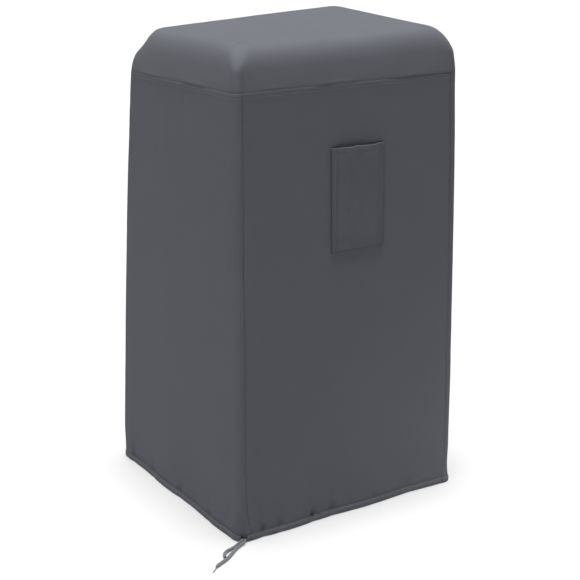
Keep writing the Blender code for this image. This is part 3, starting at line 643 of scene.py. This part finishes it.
def pocket_out(across, up):
    """How far the pocket's outer face stands off the wall, at metres from its left edge and its bottom."""
    width, height = POCKET_X[1] - POCKET_X[0], POCKET_Z[1] - POCKET_Z[0]
    share, rise = np.clip(2.0 * across / width - 1.0, -1.0, 1.0), up / height
    full = (1.0 - share ** 2) ** POCKET_FULLNESS
    gape = ease((rise - POCKET_OPENS) / (1.0 - POCKET_OPENS))
    swell = mix(POCKET_SWELL * ease(rise / POCKET_FOOT), POCKET_GAPE, gape) * full
    right = width - across
    sewn = np.minimum(np.minimum(across, right), up)
    fold = POCKET_FOLD * np.sqrt(np.clip(sewn / 0.0012, 0.0, 1.0))
    rows = near_rows(across, LEFT_ROWS, ROW_WIDTH) + near_rows(right, RIGHT_ROWS, ROW_WIDTH)
    rows = rows * ease((height - up) / 0.004) + near_rows(up, BOTTOM_ROWS, ROW_WIDTH)
    beside = sum(rise * hump(across - place, half) for place, rise, half in LEFT_RELIEF)
    beside = beside + sum(rise * hump(right - place, half) for place, rise, half in RIGHT_RELIEF)
    tufts = sum(out * hump(across - place, half) for place, _, out, half in MOUTH_TUFTS)
    between = 0.0007 * hump(height - up - 0.014, 0.006) * (undulation(across, up * 0.5, 0.006, 71) - 0.3)
    mouth = tufts * ease(1.0 - (height - up) / 0.020) + between * ease((0.060 - across) / 0.01)
    mouth -= 0.0004 * hump(height - up - POCKET_HEM, 0.0010)
    foot = sum(out * hump(across - place, half) for place, out, half in FOOT_TUFTS)
    foot = (foot - 0.0003) * hump(up - 0.0065, 0.0055)
    soft = 0.00035 * undulation(across * 1.6, up, 0.016, 72)
    soft = soft + 0.00025 * undulation(across * 2.5, up * 0.35, 0.009, 73)
    calm = ease(sewn / 0.004)
    return POCKET_GAP + 0.0010 + fold + swell - 0.0007 * rows + beside + foot + (mouth + soft) * calm


def near_rows(place, rows, half_width):
    """How near a place lies to rows of stitches, 1 on a row."""
    return sum(hump(place - row, half_width) for row in rows)


def pocket(thickness):
    """The patch pocket, sewn on at its sides and bottom, its mouth gathered and a little open."""
    width, height = POCKET_X[1] - POCKET_X[0], POCKET_Z[1] - POCKET_Z[0]
    close, low = np.array(POCKET_SIDE_PLACES) / width, np.array(POCKET_LOW_PLACES) / height
    inset, start = close[-1] + POCKET_STEP / width, low[-1] + POCKET_STEP / height
    middle = np.linspace(inset, 1.0 - inset, POCKET_COLUMNS - 2 * len(close) + 1)
    shares = np.concatenate((close, middle, 1.0 - close[::-1]))
    rises = np.concatenate((low, np.linspace(start, 1.0, POCKET_ROWS - len(low) + 1)))

    def hang(column, row):
        across, up = shares[column] * width, rises[row] * height
        lift = sum(rise * hump(across - place, half) for place, rise, _, half in MOUTH_TUFTS)
        z = POCKET_Z[0] + up + lift * ease(1.0 - (height - up) / 0.012)
        half = flat_length("front", z) / 2.0
        station = (POCKET_X[0] + across + half) / (2.0 * half)
        out = pocket_out(across, up)
        _, along = wall_point(station, z, 0.0, "front")
        points, _ = wall_point(station, z, out, "front")
        # Painted shade along the pocket's stitch rows and at its sewn edges, carried in the shade attribute
        rows = near_rows(across, LEFT_ROWS, ROW_SHADE_WIDTH)
        rows = rows + near_rows(width - across, RIGHT_ROWS, ROW_SHADE_WIDTH)
        rows = rows + near_rows(up, BOTTOM_ROWS, ROW_SHADE_WIDTH)
        edge = hump(np.minimum(np.minimum(across, width - across), up), 0.0009)
        return points, np.stack((along + 0.31, z), axis=-1), np.clip(0.9 * rows + 0.6 * edge, 0.0, 1.0)

    return grid_sheet("pocket_cloth", len(shares) - 1, len(rises) - 1, hang, thickness)


def eyelet_frame():
    """Centre of the eyelet on the hem's outer face, its outward direction and the direction aside."""
    z, station = np.array([EYELET_HEIGHT]), np.array([EYELET_STATION])
    points, _ = wall_point(station, z, roll(z), "left")
    plan = outline(station, *half_sizes(z), corner_radius(z))
    normal_x, normal_y = float(plan[2][0]), float(plan[3][0])
    return Vector(points[0]), Vector((normal_x, normal_y, 0.0)), Vector((-normal_y, normal_x, 0.0))


def open_hole(piece, centre, outward, radius):
    """Open a round hole in a sheet: its faces inside the radius go, and the rim is drawn to a circle."""
    form = bmesh.new()
    form.from_mesh(piece.data)
    near = [vertex for vertex in form.verts if (vertex.co - centre).length < 3.0 * radius
            and (vertex.co - centre).dot(outward) > -0.0026]
    faces = {face for vertex in near for face in vertex.link_faces}
    form.faces.ensure_lookup_table()
    inside = [face for face in faces if (face.calc_center_median() - centre).length < radius]
    bmesh.ops.delete(form, geom=inside, context="FACES")
    for vertex in near:
        if vertex.is_valid and vertex.is_boundary:
            away = vertex.co - centre
            depth = away.dot(outward)
            flat = away - outward * depth
            if 0.3 * radius < flat.length < 2.0 * radius:
                vertex.co = centre + flat.normalized() * radius + outward * depth
    form.to_mesh(piece.data)
    form.free()


def eyelet_ring(sizes):
    """The eyelet: a rolled flange and a short barrel, spun from its profile."""
    centre, outward, aside = eyelet_frame()
    hole, rim = EYELET_HOLE_RADIUS, EYELET_FLANGE_RADIUS
    middle, half = (hole + rim) / 2.0, (rim - hole) / 2.0
    profile = [(hole, -EYELET_DEPTH)]
    profile += [(middle - half * cos(a), 0.00015 + EYELET_FLANGE * sin(a)) for a in np.linspace(0.0, pi, 11)]
    profile += [(rim - 0.0002, 0.0), (EYELET_BARREL_RADIUS, 0.0), (EYELET_BARREL_RADIUS, -EYELET_DEPTH)]
    form = bmesh.new()
    corners = [form.verts.new((radius, 0.0, height)) for radius, height in profile]
    edges = [form.edges.new((corners[i - 1], corners[i])) for i in range(len(corners))]
    bmesh.ops.spin(form, geom=corners + edges, cent=(0, 0, 0), axis=(0, 0, 1), angle=2.0 * pi,
                   steps=sizes.steps, use_merge=True)
    bmesh.ops.remove_doubles(form, verts=form.verts[:], dist=0.00001)
    bmesh.ops.recalc_face_normals(form, faces=form.faces[:])
    turn = Matrix((aside, outward.cross(aside), outward)).transposed().to_4x4()
    place = Matrix.Translation(centre + outward * EYELET_LIFT)
    bmesh.ops.transform(form, matrix=place @ turn, verts=form.verts[:])
    return finish_form("eyelet_ring", form)


def finish_form(name, form):
    """Turn a bmesh into a smooth object at the origin."""
    mesh = bpy.data.meshes.new(name)
    form.to_mesh(mesh)
    form.free()
    mesh.shade_smooth()
    thing = bpy.data.objects.new(name, mesh)
    bpy.context.scene.collection.objects.link(thing)
    return thing


def smooth_route(points, step):
    """Points a step apart on a smooth curve through the route's own points."""
    dense = []
    last = len(points) - 1
    for index in range(last):
        before, start = points[max(index - 1, 0)], points[index]
        end, after = points[index + 1], points[min(index + 2, last)]
        for t in np.linspace(0.0, 1.0, CURVE_STEPS, endpoint=False):
            bend = 2.0 * before - 5.0 * start + 4.0 * end - after
            twist = 3.0 * start - before - 3.0 * end + after
            dense.append(start + 0.5 * ((end - before) * t + bend * t ** 2 + twist * t ** 3))
    kept = [points[0]]
    for point in dense:
        if np.linalg.norm((point - kept[-1])[:3]) >= step:
            kept.append(point)
    return np.array(kept + [points[last]])


def tie_route(route, step):
    """A tie end's centreline in metres, with the share of the full diameter at each point."""
    centre, outward, aside = eyelet_frame()
    points = []
    for out, across, height, share in route:
        place = centre + (outward * out + aside * across) / 1000.0
        points.append(np.array((place.x, place.y, height / 1000.0, share)))
    return smooth_route(points, step)


def tube(name, line, radii, around, swell=None):
    """A closed tube along a line: a grid wrapped round it, its seam and its ends merged."""
    line, radii = np.array(line), np.array(radii)
    count = len(line)
    tangent = np.gradient(line, axis=0)
    tangent /= np.linalg.norm(tangent, axis=1)[:, None]
    side = np.cross(tangent, (0.0, 0.0, 1.0))
    side /= np.maximum(np.linalg.norm(side, axis=1), 1e-6)[:, None]
    up = np.cross(side, tangent)
    rings = np.concatenate(([0], np.arange(count), [count - 1]))
    size = np.concatenate(([0.0], radii, [0.0]))
    length = np.concatenate(([0.0], np.cumsum(np.linalg.norm(np.diff(line, axis=0), axis=1))))

    def hang(column, row):
        angle = 2.0 * pi * column / around
        at = rings[row]
        radius = size[row] * (1.0 if swell is None else swell(angle, length[at]))
        ring = side[at] * np.cos(angle)[:, None] + up[at] * np.sin(angle)[:, None]
        cloth = np.stack((column / around, length[at]), axis=-1)
        return line[at] + ring * np.asarray(radius)[:, None], cloth, np.zeros(len(row))

    thing = grid_sheet(name, around, len(rings) - 1, hang, 0.0)
    form = bmesh.new()
    form.from_mesh(thing.data)
    bmesh.ops.remove_doubles(form, verts=form.verts[:], dist=0.000004)
    bmesh.ops.recalc_face_normals(form, faces=form.faces[:])
    form.to_mesh(thing.data)
    form.free()
    return thing


def plait(angle, length):
    """Swelling of a braided cord where its yarns cross."""
    turns, lay = BRAID_YARNS * angle, length / BRAID_LAY
    return 1.0 + 0.045 * np.cos(turns + lay) * np.cos(turns - lay)


def sewn_row(form, points, normals, sizes, rng):
    """A row of stitches along points a stitch apart, each a small lozenge that dips into the cloth."""
    for start, end, normal in zip(points[:-1], points[1:], normals):
        run, normal = Vector(end - start), Vector(normal)
        length = run.length * (1.0 - sizes.stitch_gap)
        run.normalize()
        side = normal.cross(run).normalized()
        lean = run + side * float(rng.uniform(-0.05, 0.05))
        lean.normalize()
        side = normal.cross(lean).normalized()
        turn = Matrix((lean, side, normal)).transposed().to_4x4()
        scale = Matrix.Diagonal((length, sizes.thread, sizes.thread * 0.9, 1.0))
        place = Matrix.Translation(Vector((start + end) / 2.0) + normal * sizes.thread * 0.12)
        bmesh.ops.create_uvsphere(form, u_segments=6, v_segments=4, radius=0.5, matrix=place @ turn @ scale)


def along_wall(side, places, heights, lift):
    """Points and normals on a wall's finished face at places along it."""
    places, heights = np.asarray(places, dtype=float), np.asarray(heights, dtype=float)
    half = flat_length(side, heights) / 2.0
    wrap = edge_wrap(heights)
    beyond = np.maximum(np.abs(places) - half, 0.0)
    turned = np.where(places > 0.0, 1.0 + beyond / wrap, -beyond / wrap)
    lead = np.where(beyond > 0.0, turned, (places + half) / (2.0 * half))
    station = 2 * SIDES.index(side) + lead
    move = roll(heights) + wall_relief(side, places, heights)
    inner, _ = wall_point(station, heights, move, side)
    outer, _ = wall_point(station, heights, move + 0.001, side)
    normals = (outer - inner) / np.linalg.norm(outer - inner, axis=1)[:, None]
    return inner + normals * lift, normals


def even_steps(start, end, step):
    """Even places from start to end, about a step apart."""
    return np.linspace(start, end, max(int(round(abs(end - start) / step)), 1) + 1)


class Socket:
    """A node's output. Arithmetic on sockets adds Math nodes."""

    def __init__(self, recipe, output):
        self.recipe = recipe
        self.output = output

    def maths(self, operation, *terms):
        keys = ("Value", "Value_001")
        return self.recipe.node("ShaderNodeMath", {"operation": operation}, dict(zip(keys, terms)), "Value")

    def __add__(self, other):
        return self.maths("ADD", self, other)

    def __sub__(self, other):
        return self.maths("SUBTRACT", self, other)

    def __rsub__(self, other):
        return self.maths("SUBTRACT", other, self)

    def __mul__(self, other):
        return self.maths("MULTIPLY", self, other)

    def __truediv__(self, other):
        return self.maths("DIVIDE", self, other)

    def __mod__(self, other):
        return self.maths("FLOORED_MODULO", self, other)

    def sine(self):
        return self.maths("SINE", self)

    def size(self):
        return self.maths("ABSOLUTE", self)

    def floor(self):
        return self.maths("FLOOR", self)

    __radd__ = __add__
    __rmul__ = __mul__


class Recipe:
    """A material and the nodes that make it."""

    def __init__(self, name, **constants):
        self.material = bpy.data.materials.new(name)
        self.material.use_nodes = True
        self.tree = self.material.node_tree
        self.shader = self.tree.nodes["Principled BSDF"]
        for key, value in constants.items():
            self.shader.inputs[key.replace("_", " ")].default_value = value

    def node(self, kind, settings, values, output):
        """Add a node: its settings first, then the values or links of its sockets; give the named output."""
        made = self.tree.nodes.new(kind)
        for key, value in settings.items():
            setattr(made, key, value)
        sockets = {socket.identifier: socket for socket in made.inputs}
        for key, value in values.items():
            if isinstance(value, Socket):
                self.tree.links.new(value.output, sockets[key])
            else:
                sockets[key].default_value = value
        return Socket(self, {socket.identifier: socket for socket in made.outputs}[output])

    def cloth_place(self):
        """The cloth coordinates as a vector and as two numbers, in metres."""
        place = self.node("ShaderNodeUVMap", {"uv_map": "cloth"}, {}, "UV")
        across = self.node("ShaderNodeSeparateXYZ", {}, {"Vector": place}, "X")
        return place, across, self.node("ShaderNodeSeparateXYZ", {}, {"Vector": place}, "Y")

    def noise(self, place, scale, detail, roughness=0.5):
        return self.node("ShaderNodeTexNoise", {"noise_dimensions": "3D"},
                         {"Vector": place, "Scale": scale, "Detail": detail, "Roughness": roughness}, "Fac")

    def ramp(self, value, low, high):
        """Stretch a value between two limits to 0..1."""
        return self.node("ShaderNodeMapRange", {"clamp": True},
                         {"Value": value, "From Min": low, "From Max": high}, "Result")

    def blend(self, share, low, high):
        """Mix two colours."""
        return self.node("ShaderNodeMix", {"data_type": "RGBA"},
                         {"Factor_Float": share, "A_Color": low, "B_Color": high}, "Result_Color")

    def attribute(self, name):
        return self.node("ShaderNodeAttribute", {"attribute_name": name}, {}, "Fac")

    def raise_by(self, height, distance, strength):
        """Feed a height to the shader's normal."""
        values = {"Height": height, "Distance": distance, "Strength": strength}
        self.feed("Normal", self.node("ShaderNodeBump", {}, values, "Normal"))

    def feed(self, key, value):
        self.tree.links.new(value.output, self.shader.inputs[key])


def opaque(colour, factor=1.0):
    """A colour, made lighter or darker, with full alpha."""
    return (*(min(channel * factor, 1.0) for channel in colour), 1.0)


def woven_finish(name, settings, lightness=1.0):
    """Plain-woven coated cloth: yarns over and under, with painted shade in their gaps and a painted
    highlight on their tops, slight unevenness, and painted shade in its seams and folds.
    """
    recipe = Recipe(name, Sheen_Weight=settings.sheen, Sheen_Roughness=0.45, Specular_IOR_Level=0.12)
    place, across, up = recipe.cloth_place()
    warp, weft = across / settings.pitch, up / settings.pitch
    over = (warp.floor() + weft.floor()) % 2.0
    warp_round, weft_round = (warp * pi).sine().size(), (weft * pi).sine().size()
    yarn = over * warp_round + (1.0 - over) * weft_round
    slub = recipe.noise(place, 900.0, 2.0)
    mottle = recipe.noise(place, 28.0, 4.0, 0.6)
    patches = recipe.noise(place, 7.0, 2.0)
    # Painted shade and highlight of the weave: a darker copy of the cloth's colour in the yarns' gaps and a
    # lighter one on their tops, mixed with random slub
    yarn_light_and_tone = recipe.ramp(yarn * 0.7 + slub * 0.3, 0.25, 0.85)
    uneven = recipe.ramp(mottle * 0.6 + patches * 0.4, 0.34, 0.66)
    shaded_gap_colour, lit_top_colour = opaque(settings.colour, 0.86 * lightness), opaque(settings.colour, 1.10 * lightness)
    plain = recipe.blend(yarn_light_and_tone, shaded_gap_colour, lit_top_colour)
    tinted = recipe.blend(uneven * 0.22, plain, opaque(settings.worn_colour, lightness))
    # Painted shade: where the shade attribute is high, the colour goes towards a dark copy of the cloth's
    # colour
    shade = recipe.attribute("shade") * settings.painted_shade_strength
    recipe.feed("Base Color", recipe.blend(shade, tinted, opaque(settings.colour, 0.45)))
    recipe.feed("Roughness", settings.roughness + (0.5 - yarn) * 0.12 + (mottle - 0.5) * 0.10)
    recipe.raise_by(yarn * 0.8 + slub * 0.25 + mottle * 0.25, 0.00022, 0.75)
    return recipe.material


def thread_finish(settings):
    """Twisted sewing thread, a little lighter than the cloth."""
    recipe = Recipe("sewing_thread", Sheen_Weight=0.3, Roughness=0.6)
    place = recipe.node("ShaderNodeTexCoord", {}, {}, "Object")
    fleck = recipe.noise(place, 700.0, 2.0)
    dark, light = opaque(settings.thread_colour, 0.7), opaque(settings.thread_colour, 1.25)
    recipe.feed("Base Color", recipe.blend(fleck, dark, light))
    recipe.raise_by(fleck, 0.0001, 0.5)
    return recipe.material


def braid_finish(settings):
    """Braided cord: yarns that cross in diamonds, painted lighter on the crossings and in shade between them,
    fuzzy and slightly worn.
    """
    recipe = Recipe("braided_cord", Sheen_Weight=0.35, Sheen_Roughness=0.5)
    _, round_share, along = recipe.cloth_place()
    turns, lay = round_share * (2.0 * pi * BRAID_YARNS), along / BRAID_LAY
    cross = (turns + lay).sine() * (turns - lay).sine()
    fuzz = recipe.noise(recipe.node("ShaderNodeTexCoord", {}, {}, "Object"), 1500.0, 3.0)
    # Painted shade and highlight: the cord's colour is darker between the crossing yarns and lighter on them,
    # mixed with random fuzz
    yarn_light_and_tone = recipe.ramp(cross * 0.35 + fuzz * 0.65 + 0.15, 0.25, 0.85)
    dark, light = opaque(settings.cord_colour, 0.55), opaque(settings.cord_colour, 1.35)
    recipe.feed("Base Color", recipe.blend(yarn_light_and_tone, dark, light))
    recipe.feed("Roughness", 0.70 + fuzz * 0.2)
    recipe.raise_by(cross * 0.6 + fuzz * 0.4, 0.0003, 0.8)
    return recipe.material


def eyelet_finish(settings):
    """Dark plated metal with fine scratches, rubbed brighter in random patches."""
    recipe = Recipe("eyelet_metal", Metallic=0.85)
    place = recipe.node("ShaderNodeTexCoord", {}, {}, "Object")
    rub = recipe.ramp(recipe.noise(place, 420.0, 4.0, 0.6), 0.45, 0.75)
    plated, rubbed = opaque(settings.eyelet_colour), opaque(settings.rubbed_colour)
    recipe.feed("Base Color", recipe.blend(rub, plated, rubbed))
    recipe.feed("Roughness", 0.32 + recipe.noise(place, 1300.0, 2.0) * 0.2)
    recipe.raise_by(recipe.noise(place, 2200.0, 2.0), 0.00005, 0.4)
    return recipe.material


def floor_finish(settings):
    """Pale matt table, softly lit from within, with a hardly visible unevenness."""
    recipe = Recipe("pale_floor", Roughness=0.9, Specular_IOR_Level=0.1,
                    Emission_Color=opaque((1.0, 1.0, 1.0)), Emission_Strength=settings.floor_glow)
    tone = recipe.noise(recipe.node("ShaderNodeTexCoord", {}, {}, "Object"), 3.0, 3.0)
    dark, light = opaque(settings.floor_colour, 0.98), opaque(settings.floor_colour)
    recipe.feed("Base Color", recipe.blend(tone, dark, light))
    return recipe.material


def metres(name, description, default):
    """A size that a user can change, in metres."""
    return bpy.props.FloatProperty(name=name, description=description, default=default, unit="LENGTH",
                                   precision=5)


def number(name, description, default):
    """A plain number that a user can change."""
    return bpy.props.FloatProperty(name=name, description=description, default=default, precision=3)


def tint(name, description, default):
    """A colour that a user can change."""
    return bpy.props.FloatVectorProperty(name=name, description=description, default=default,
                                         subtype="COLOR", size=3)


class ClothSettings(bpy.types.PropertyGroup):
    thickness: metres("Thickness", "Thickness of the cloth", 0.001)
    pitch: metres("Yarn pitch", "Distance between yarns", 0.0008)
    colour: tint("Cloth", "Colour of the cloth", (0.0890, 0.0918, 0.1060))
    worn_colour: tint("Worn cloth", "Colour of the cloth's paler places", (0.1080, 0.1110, 0.1260))
    roughness: number("Roughness", "Roughness of the cloth", 0.72)
    sheen: number("Sheen", "Soft sheen of the yarns", 0.02)
    # Strength of the painted shade in seams, folds and stitch rows
    painted_shade_strength: number("Seam darkness", "How dark the cloth lies in its seams", 0.55)


class SewingSettings(bpy.types.PropertyGroup):
    stitch: metres("Stitch", "Length of a stitch", 0.0036)
    stitch_gap: number("Gap", "Gap between stitches, as a share", 0.22)
    thread: metres("Thread", "Thickness of the thread", 0.0007)
    thread_colour: tint("Thread colour", "Colour of the sewing thread", (0.105, 0.108, 0.122))


class TieSettings(bpy.types.PropertyGroup):
    diameter: metres("Cord", "Diameter of the drawstring", 0.0055)
    steps: bpy.props.IntProperty(name="Eyelet steps", description="Steps round the eyelet", default=48)
    cord_colour: tint("Cord colour", "Colour of the drawstring", (0.085, 0.088, 0.098))
    eyelet_colour: tint("Eyelet", "Colour of the eyelet", (0.030, 0.031, 0.035))
    rubbed_colour: tint("Rubbed eyelet", "Colour where the eyelet is rubbed", (0.16, 0.165, 0.175))


class StageSettings(bpy.types.PropertyGroup):
    azimuth: number("Azimuth", "Angle of the camera round the cover, in degrees", -32.03)
    elevation: number("Elevation", "Angle of the camera over the floor, in degrees", 18.63)
    distance: metres("Distance", "Distance of the camera", 2.5168)
    aside: metres("Aside", "How far the camera aims right of the middle", 0.0080)
    above: metres("Above", "How far the camera aims over half the height", -0.0584)
    lens: number("Lens", "Focal length in millimetres on a 36 mm frame", 90.19)
    floor_colour: tint("Floor", "Colour of the floor", (0.28, 0.28, 0.28))
    floor_glow: number("Floor glow", "Brightness of the lit table it stands on", 0.36)
    side_light: number("Side light", "Strength of the soft light from the left", 0.70)
    side_spread: number("Side spread", "How soft the side light is, in degrees", 50.0)
    sky: number("Sky", "Brightness of the studio", 0.10)
    overhead_light: number("Overhead light", "Strength of the soft light from above", 7.2)
    overhead_spread: number("Spread", "How soft the overhead light is, in degrees", 20.0)
    corner_light: number("Corner light", "Power of the low light at the right, in watts", 0.24)


class COVER_OT_cap(bpy.types.Operator):
    """Hang the cap"""
    bl_idname = "cover.cap"
    bl_label = "Cap"

    def execute(self, context):
        settings = context.scene.cover_cloth
        piece = cap(settings.thickness)
        fit(piece, "top_panel", woven_finish("cap_weave", settings))
        return {"FINISHED"}


class COVER_OT_walls(bpy.types.Operator):
    """Hang the four walls, each with its hem"""
    bl_idname = "cover.walls"
    bl_label = "Walls"

    def execute(self, context):
        settings = context.scene.cover_cloth
        for side in SIDES:
            piece = wall(side, settings.thickness)
            if side == "left":
                centre, outward, _ = eyelet_frame()
                open_hole(piece, centre, outward, EYELET_CLEAR)
            fit(piece, f"{side}_panel", woven_finish(f"{side}_weave", settings))
        return {"FINISHED"}


class COVER_OT_pocket(bpy.types.Operator):
    """Sew on the pocket"""
    bl_idname = "cover.pocket"
    bl_label = "Pocket"

    def execute(self, context):
        settings = context.scene.cover_cloth
        piece = pocket(settings.thickness)
        fit(piece, "pocket", woven_finish("pocket_weave", settings, 0.97))
        return {"FINISHED"}


class COVER_OT_stitches(bpy.types.Operator):
    """Sew the rows of stitches under the cap's seam, along the hem and on the pocket"""
    bl_idname = "cover.stitches"
    bl_label = "Stitches"

    def execute(self, context):
        sizes = context.scene.cover_sewing
        rng = np.random.default_rng(4)
        finish = thread_finish(sizes)
        for name, height in (("seam_stitches", CAP_SEAM - SEAM_STITCH_DROP), ("hem_stitches", HEM_HEIGHT)):
            form = bmesh.new()
            for side in SIDES:
                broad = side in ("front", "back")
                half = float(flat_length(side, np.array(height))) / 2.0
                reach = half - SEAM_LIP - 0.002 if broad else half + float(edge_wrap(height)) - 0.001
                places = even_steps(-reach, reach, sizes.stitch)
                points, normals = along_wall(side, places, np.full(len(places), height), 0.0001)
                sewn_row(form, points, normals, sizes, rng)
            self.place(finish_form(name, form), finish)
        form = bmesh.new()
        width, height = POCKET_X[1] - POCKET_X[0], POCKET_Z[1] - POCKET_Z[0]
        rows = [((row, 0.003), (row, height - 0.002)) for row in LEFT_ROWS]
        rows += [((width - row, 0.003), (width - row, height - 0.002)) for row in RIGHT_ROWS]
        rows += [((0.004, row), (width - 0.003, row)) for row in BOTTOM_ROWS]
        for start, end in rows:
            step = sizes.stitch * 0.75
            across, up = even_steps(start[0], end[0], step), even_steps(start[1], end[1], step)
            count = max(len(across), len(up))
            across, up = np.linspace(start[0], end[0], count), np.linspace(start[1], end[1], count)
            z = POCKET_Z[0] + up
            half = flat_length("front", z) / 2.0
            station = (POCKET_X[0] + across + half) / (2.0 * half)
            points, _ = wall_point(station, z, pocket_out(across, up) + 0.0001, "front")
            sewn_row(form, points, np.tile((0.0, -1.0, 0.0), (count, 1)), sizes, rng)
        self.place(finish_form("pocket_stitches", form), finish)
        return {"FINISHED"}

    def place(self, piece, finish):
        piece.data.materials.append(finish)
        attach(piece, "root")


class COVER_OT_eyelet(bpy.types.Operator):
    """Set the eyelet in the hem"""
    bl_idname = "cover.eyelet"
    bl_label = "Eyelet"

    def execute(self, context):
        settings = context.scene.cover_tie
        fit(eyelet_ring(settings), "eyelet", eyelet_finish(settings))
        return {"FINISHED"}


class COVER_OT_tie(bpy.types.Operator):
    """Lay the two ends of the drawstring"""
    bl_idname = "cover.tie"
    bl_label = "Tie"

    def execute(self, context):
        settings = context.scene.cover_tie
        finish = braid_finish(settings)
        for name, node, route in (("short_end_cord", "tie_short_end", SHORT_END_ROUTE),
                                  ("long_end_cord", "tie_long_end", LONG_END_ROUTE)):
            line = tie_route(route, TIE_STEP)
            path = line[:, :3]
            radii = line[:, 3] * settings.diameter / 2.0
            path[:, 2] = np.maximum(path[:, 2], radii + TIE_CLEAR)
            piece = tube(name, path, radii, TIE_SIDES, plait)
            fit(piece, node, finish)
        return {"FINISHED"}


class COVER_OT_stage(bpy.types.Operator):
    """Set up the floor, the lights and the camera"""
    bl_idname = "cover.stage"
    bl_label = "Stage"

    def execute(self, context):
        settings = context.scene.cover_stage
        scene = context.scene
        form = bmesh.new()
        bmesh.ops.create_grid(form, x_segments=1, y_segments=1, size=FLOOR_HALF)
        bmesh.ops.translate(form, vec=(0.0, 0.0, -FLOOR_DROP), verts=form.verts[:])
        floor = finish_form("floor", form)
        floor.data.materials.append(floor_finish(settings))
        world = bpy.data.worlds.new("studio")
        world.use_nodes = True
        world.node_tree.nodes["Background"].inputs["Color"].default_value = (1.0, 1.0, 1.0, 1.0)
        world.node_tree.nodes["Background"].inputs["Strength"].default_value = settings.sky
        scene.world = world
        self.soft_sun("overhead_light", settings.overhead_light, settings.overhead_spread, (0.0, 0.0, 1.0))
        self.soft_sun("side_light", settings.side_light, settings.side_spread, SIDE_LIGHT_FROM)
        self.light("corner_light", settings.corner_light, CORNER_LIGHT_SIZE, CORNER_LIGHT_PLACE,
                   CORNER_LIGHT_TARGET)
        scene.view_settings.view_transform = "Standard"
        self.camera(scene, settings)
        return {"FINISHED"}

    def soft_sun(self, name, strength, spread, towards):
        lamp = bpy.data.lights.new(name, "SUN")
        lamp.energy = strength
        lamp.angle = radians(spread)
        thing = bpy.data.objects.new(name, lamp)
        bpy.context.scene.collection.objects.link(thing)
        thing.rotation_euler = Vector(towards).to_track_quat("Z", "Y").to_euler()

    def light(self, name, power, size, place, target):
        lamp = bpy.data.lights.new(name, "AREA")
        lamp.energy = power
        lamp.size = size
        thing = bpy.data.objects.new(name, lamp)
        bpy.context.scene.collection.objects.link(thing)
        thing.location = place
        thing.rotation_euler = (Vector(target) - Vector(place)).to_track_quat("-Z", "Y").to_euler()

    def camera(self, scene, settings):
        azimuth, elevation = radians(settings.azimuth), radians(settings.elevation)
        forward = Vector((-sin(azimuth) * cos(elevation), cos(azimuth) * cos(elevation), -sin(elevation)))
        right = forward.cross(Vector((0.0, 0.0, 1.0))).normalized()
        up = right.cross(forward)
        target = Vector((0.0, 0.0, HEIGHT / 2.0)) + right * settings.aside + up * settings.above
        eye = bpy.data.cameras.new("camera")
        eye.lens = settings.lens
        eye.sensor_width = 36.0
        thing = bpy.data.objects.new("camera", eye)
        scene.collection.objects.link(thing)
        thing.location = target - forward * settings.distance
        thing.rotation_euler = forward.to_track_quat("-Z", "Y").to_euler()
        scene.camera = thing


class COVER_PT_panel(bpy.types.Panel):
    """Sizes, colours and pieces of the cover"""
    bl_idname = "COVER_PT_panel"
    bl_label = "Air Conditioner Cover"
    bl_space_type = "VIEW_3D"
    bl_region_type = "UI"
    bl_category = "Cover"

    def draw(self, context):
        for group in SETTINGS:
            box = self.layout.box()
            settings = getattr(context.scene, group)
            for key in settings.__annotations__:
                box.prop(settings, key)
        for operator in PIECES:
            self.layout.operator(operator.bl_idname)


SETTINGS = {
    "cover_cloth": ClothSettings,
    "cover_sewing": SewingSettings,
    "cover_tie": TieSettings,
    "cover_stage": StageSettings,
}
PIECES = (COVER_OT_stage, COVER_OT_tie, COVER_OT_eyelet, COVER_OT_cap, COVER_OT_walls, COVER_OT_pocket,
          COVER_OT_stitches)


def register():
    for made in (*SETTINGS.values(), *PIECES, COVER_PT_panel):
        bpy.utils.register_class(made)
    for key, group in SETTINGS.items():
        setattr(bpy.types.Scene, key, bpy.props.PointerProperty(type=group))


def unregister():
    for key in SETTINGS:
        delattr(bpy.types.Scene, key)
    for made in (COVER_PT_panel, *reversed(PIECES), *SETTINGS.values()):
        bpy.utils.unregister_class(made)


def main():
    """Build every piece in order."""
    register()
    bpy.ops.cover.stage()
    bpy.ops.cover.tie()
    bpy.ops.cover.eyelet()
    bpy.ops.cover.cap()
    bpy.ops.cover.walls()
    bpy.ops.cover.pocket()
    bpy.ops.cover.stitches()


if __name__ == "__main__":
    main()
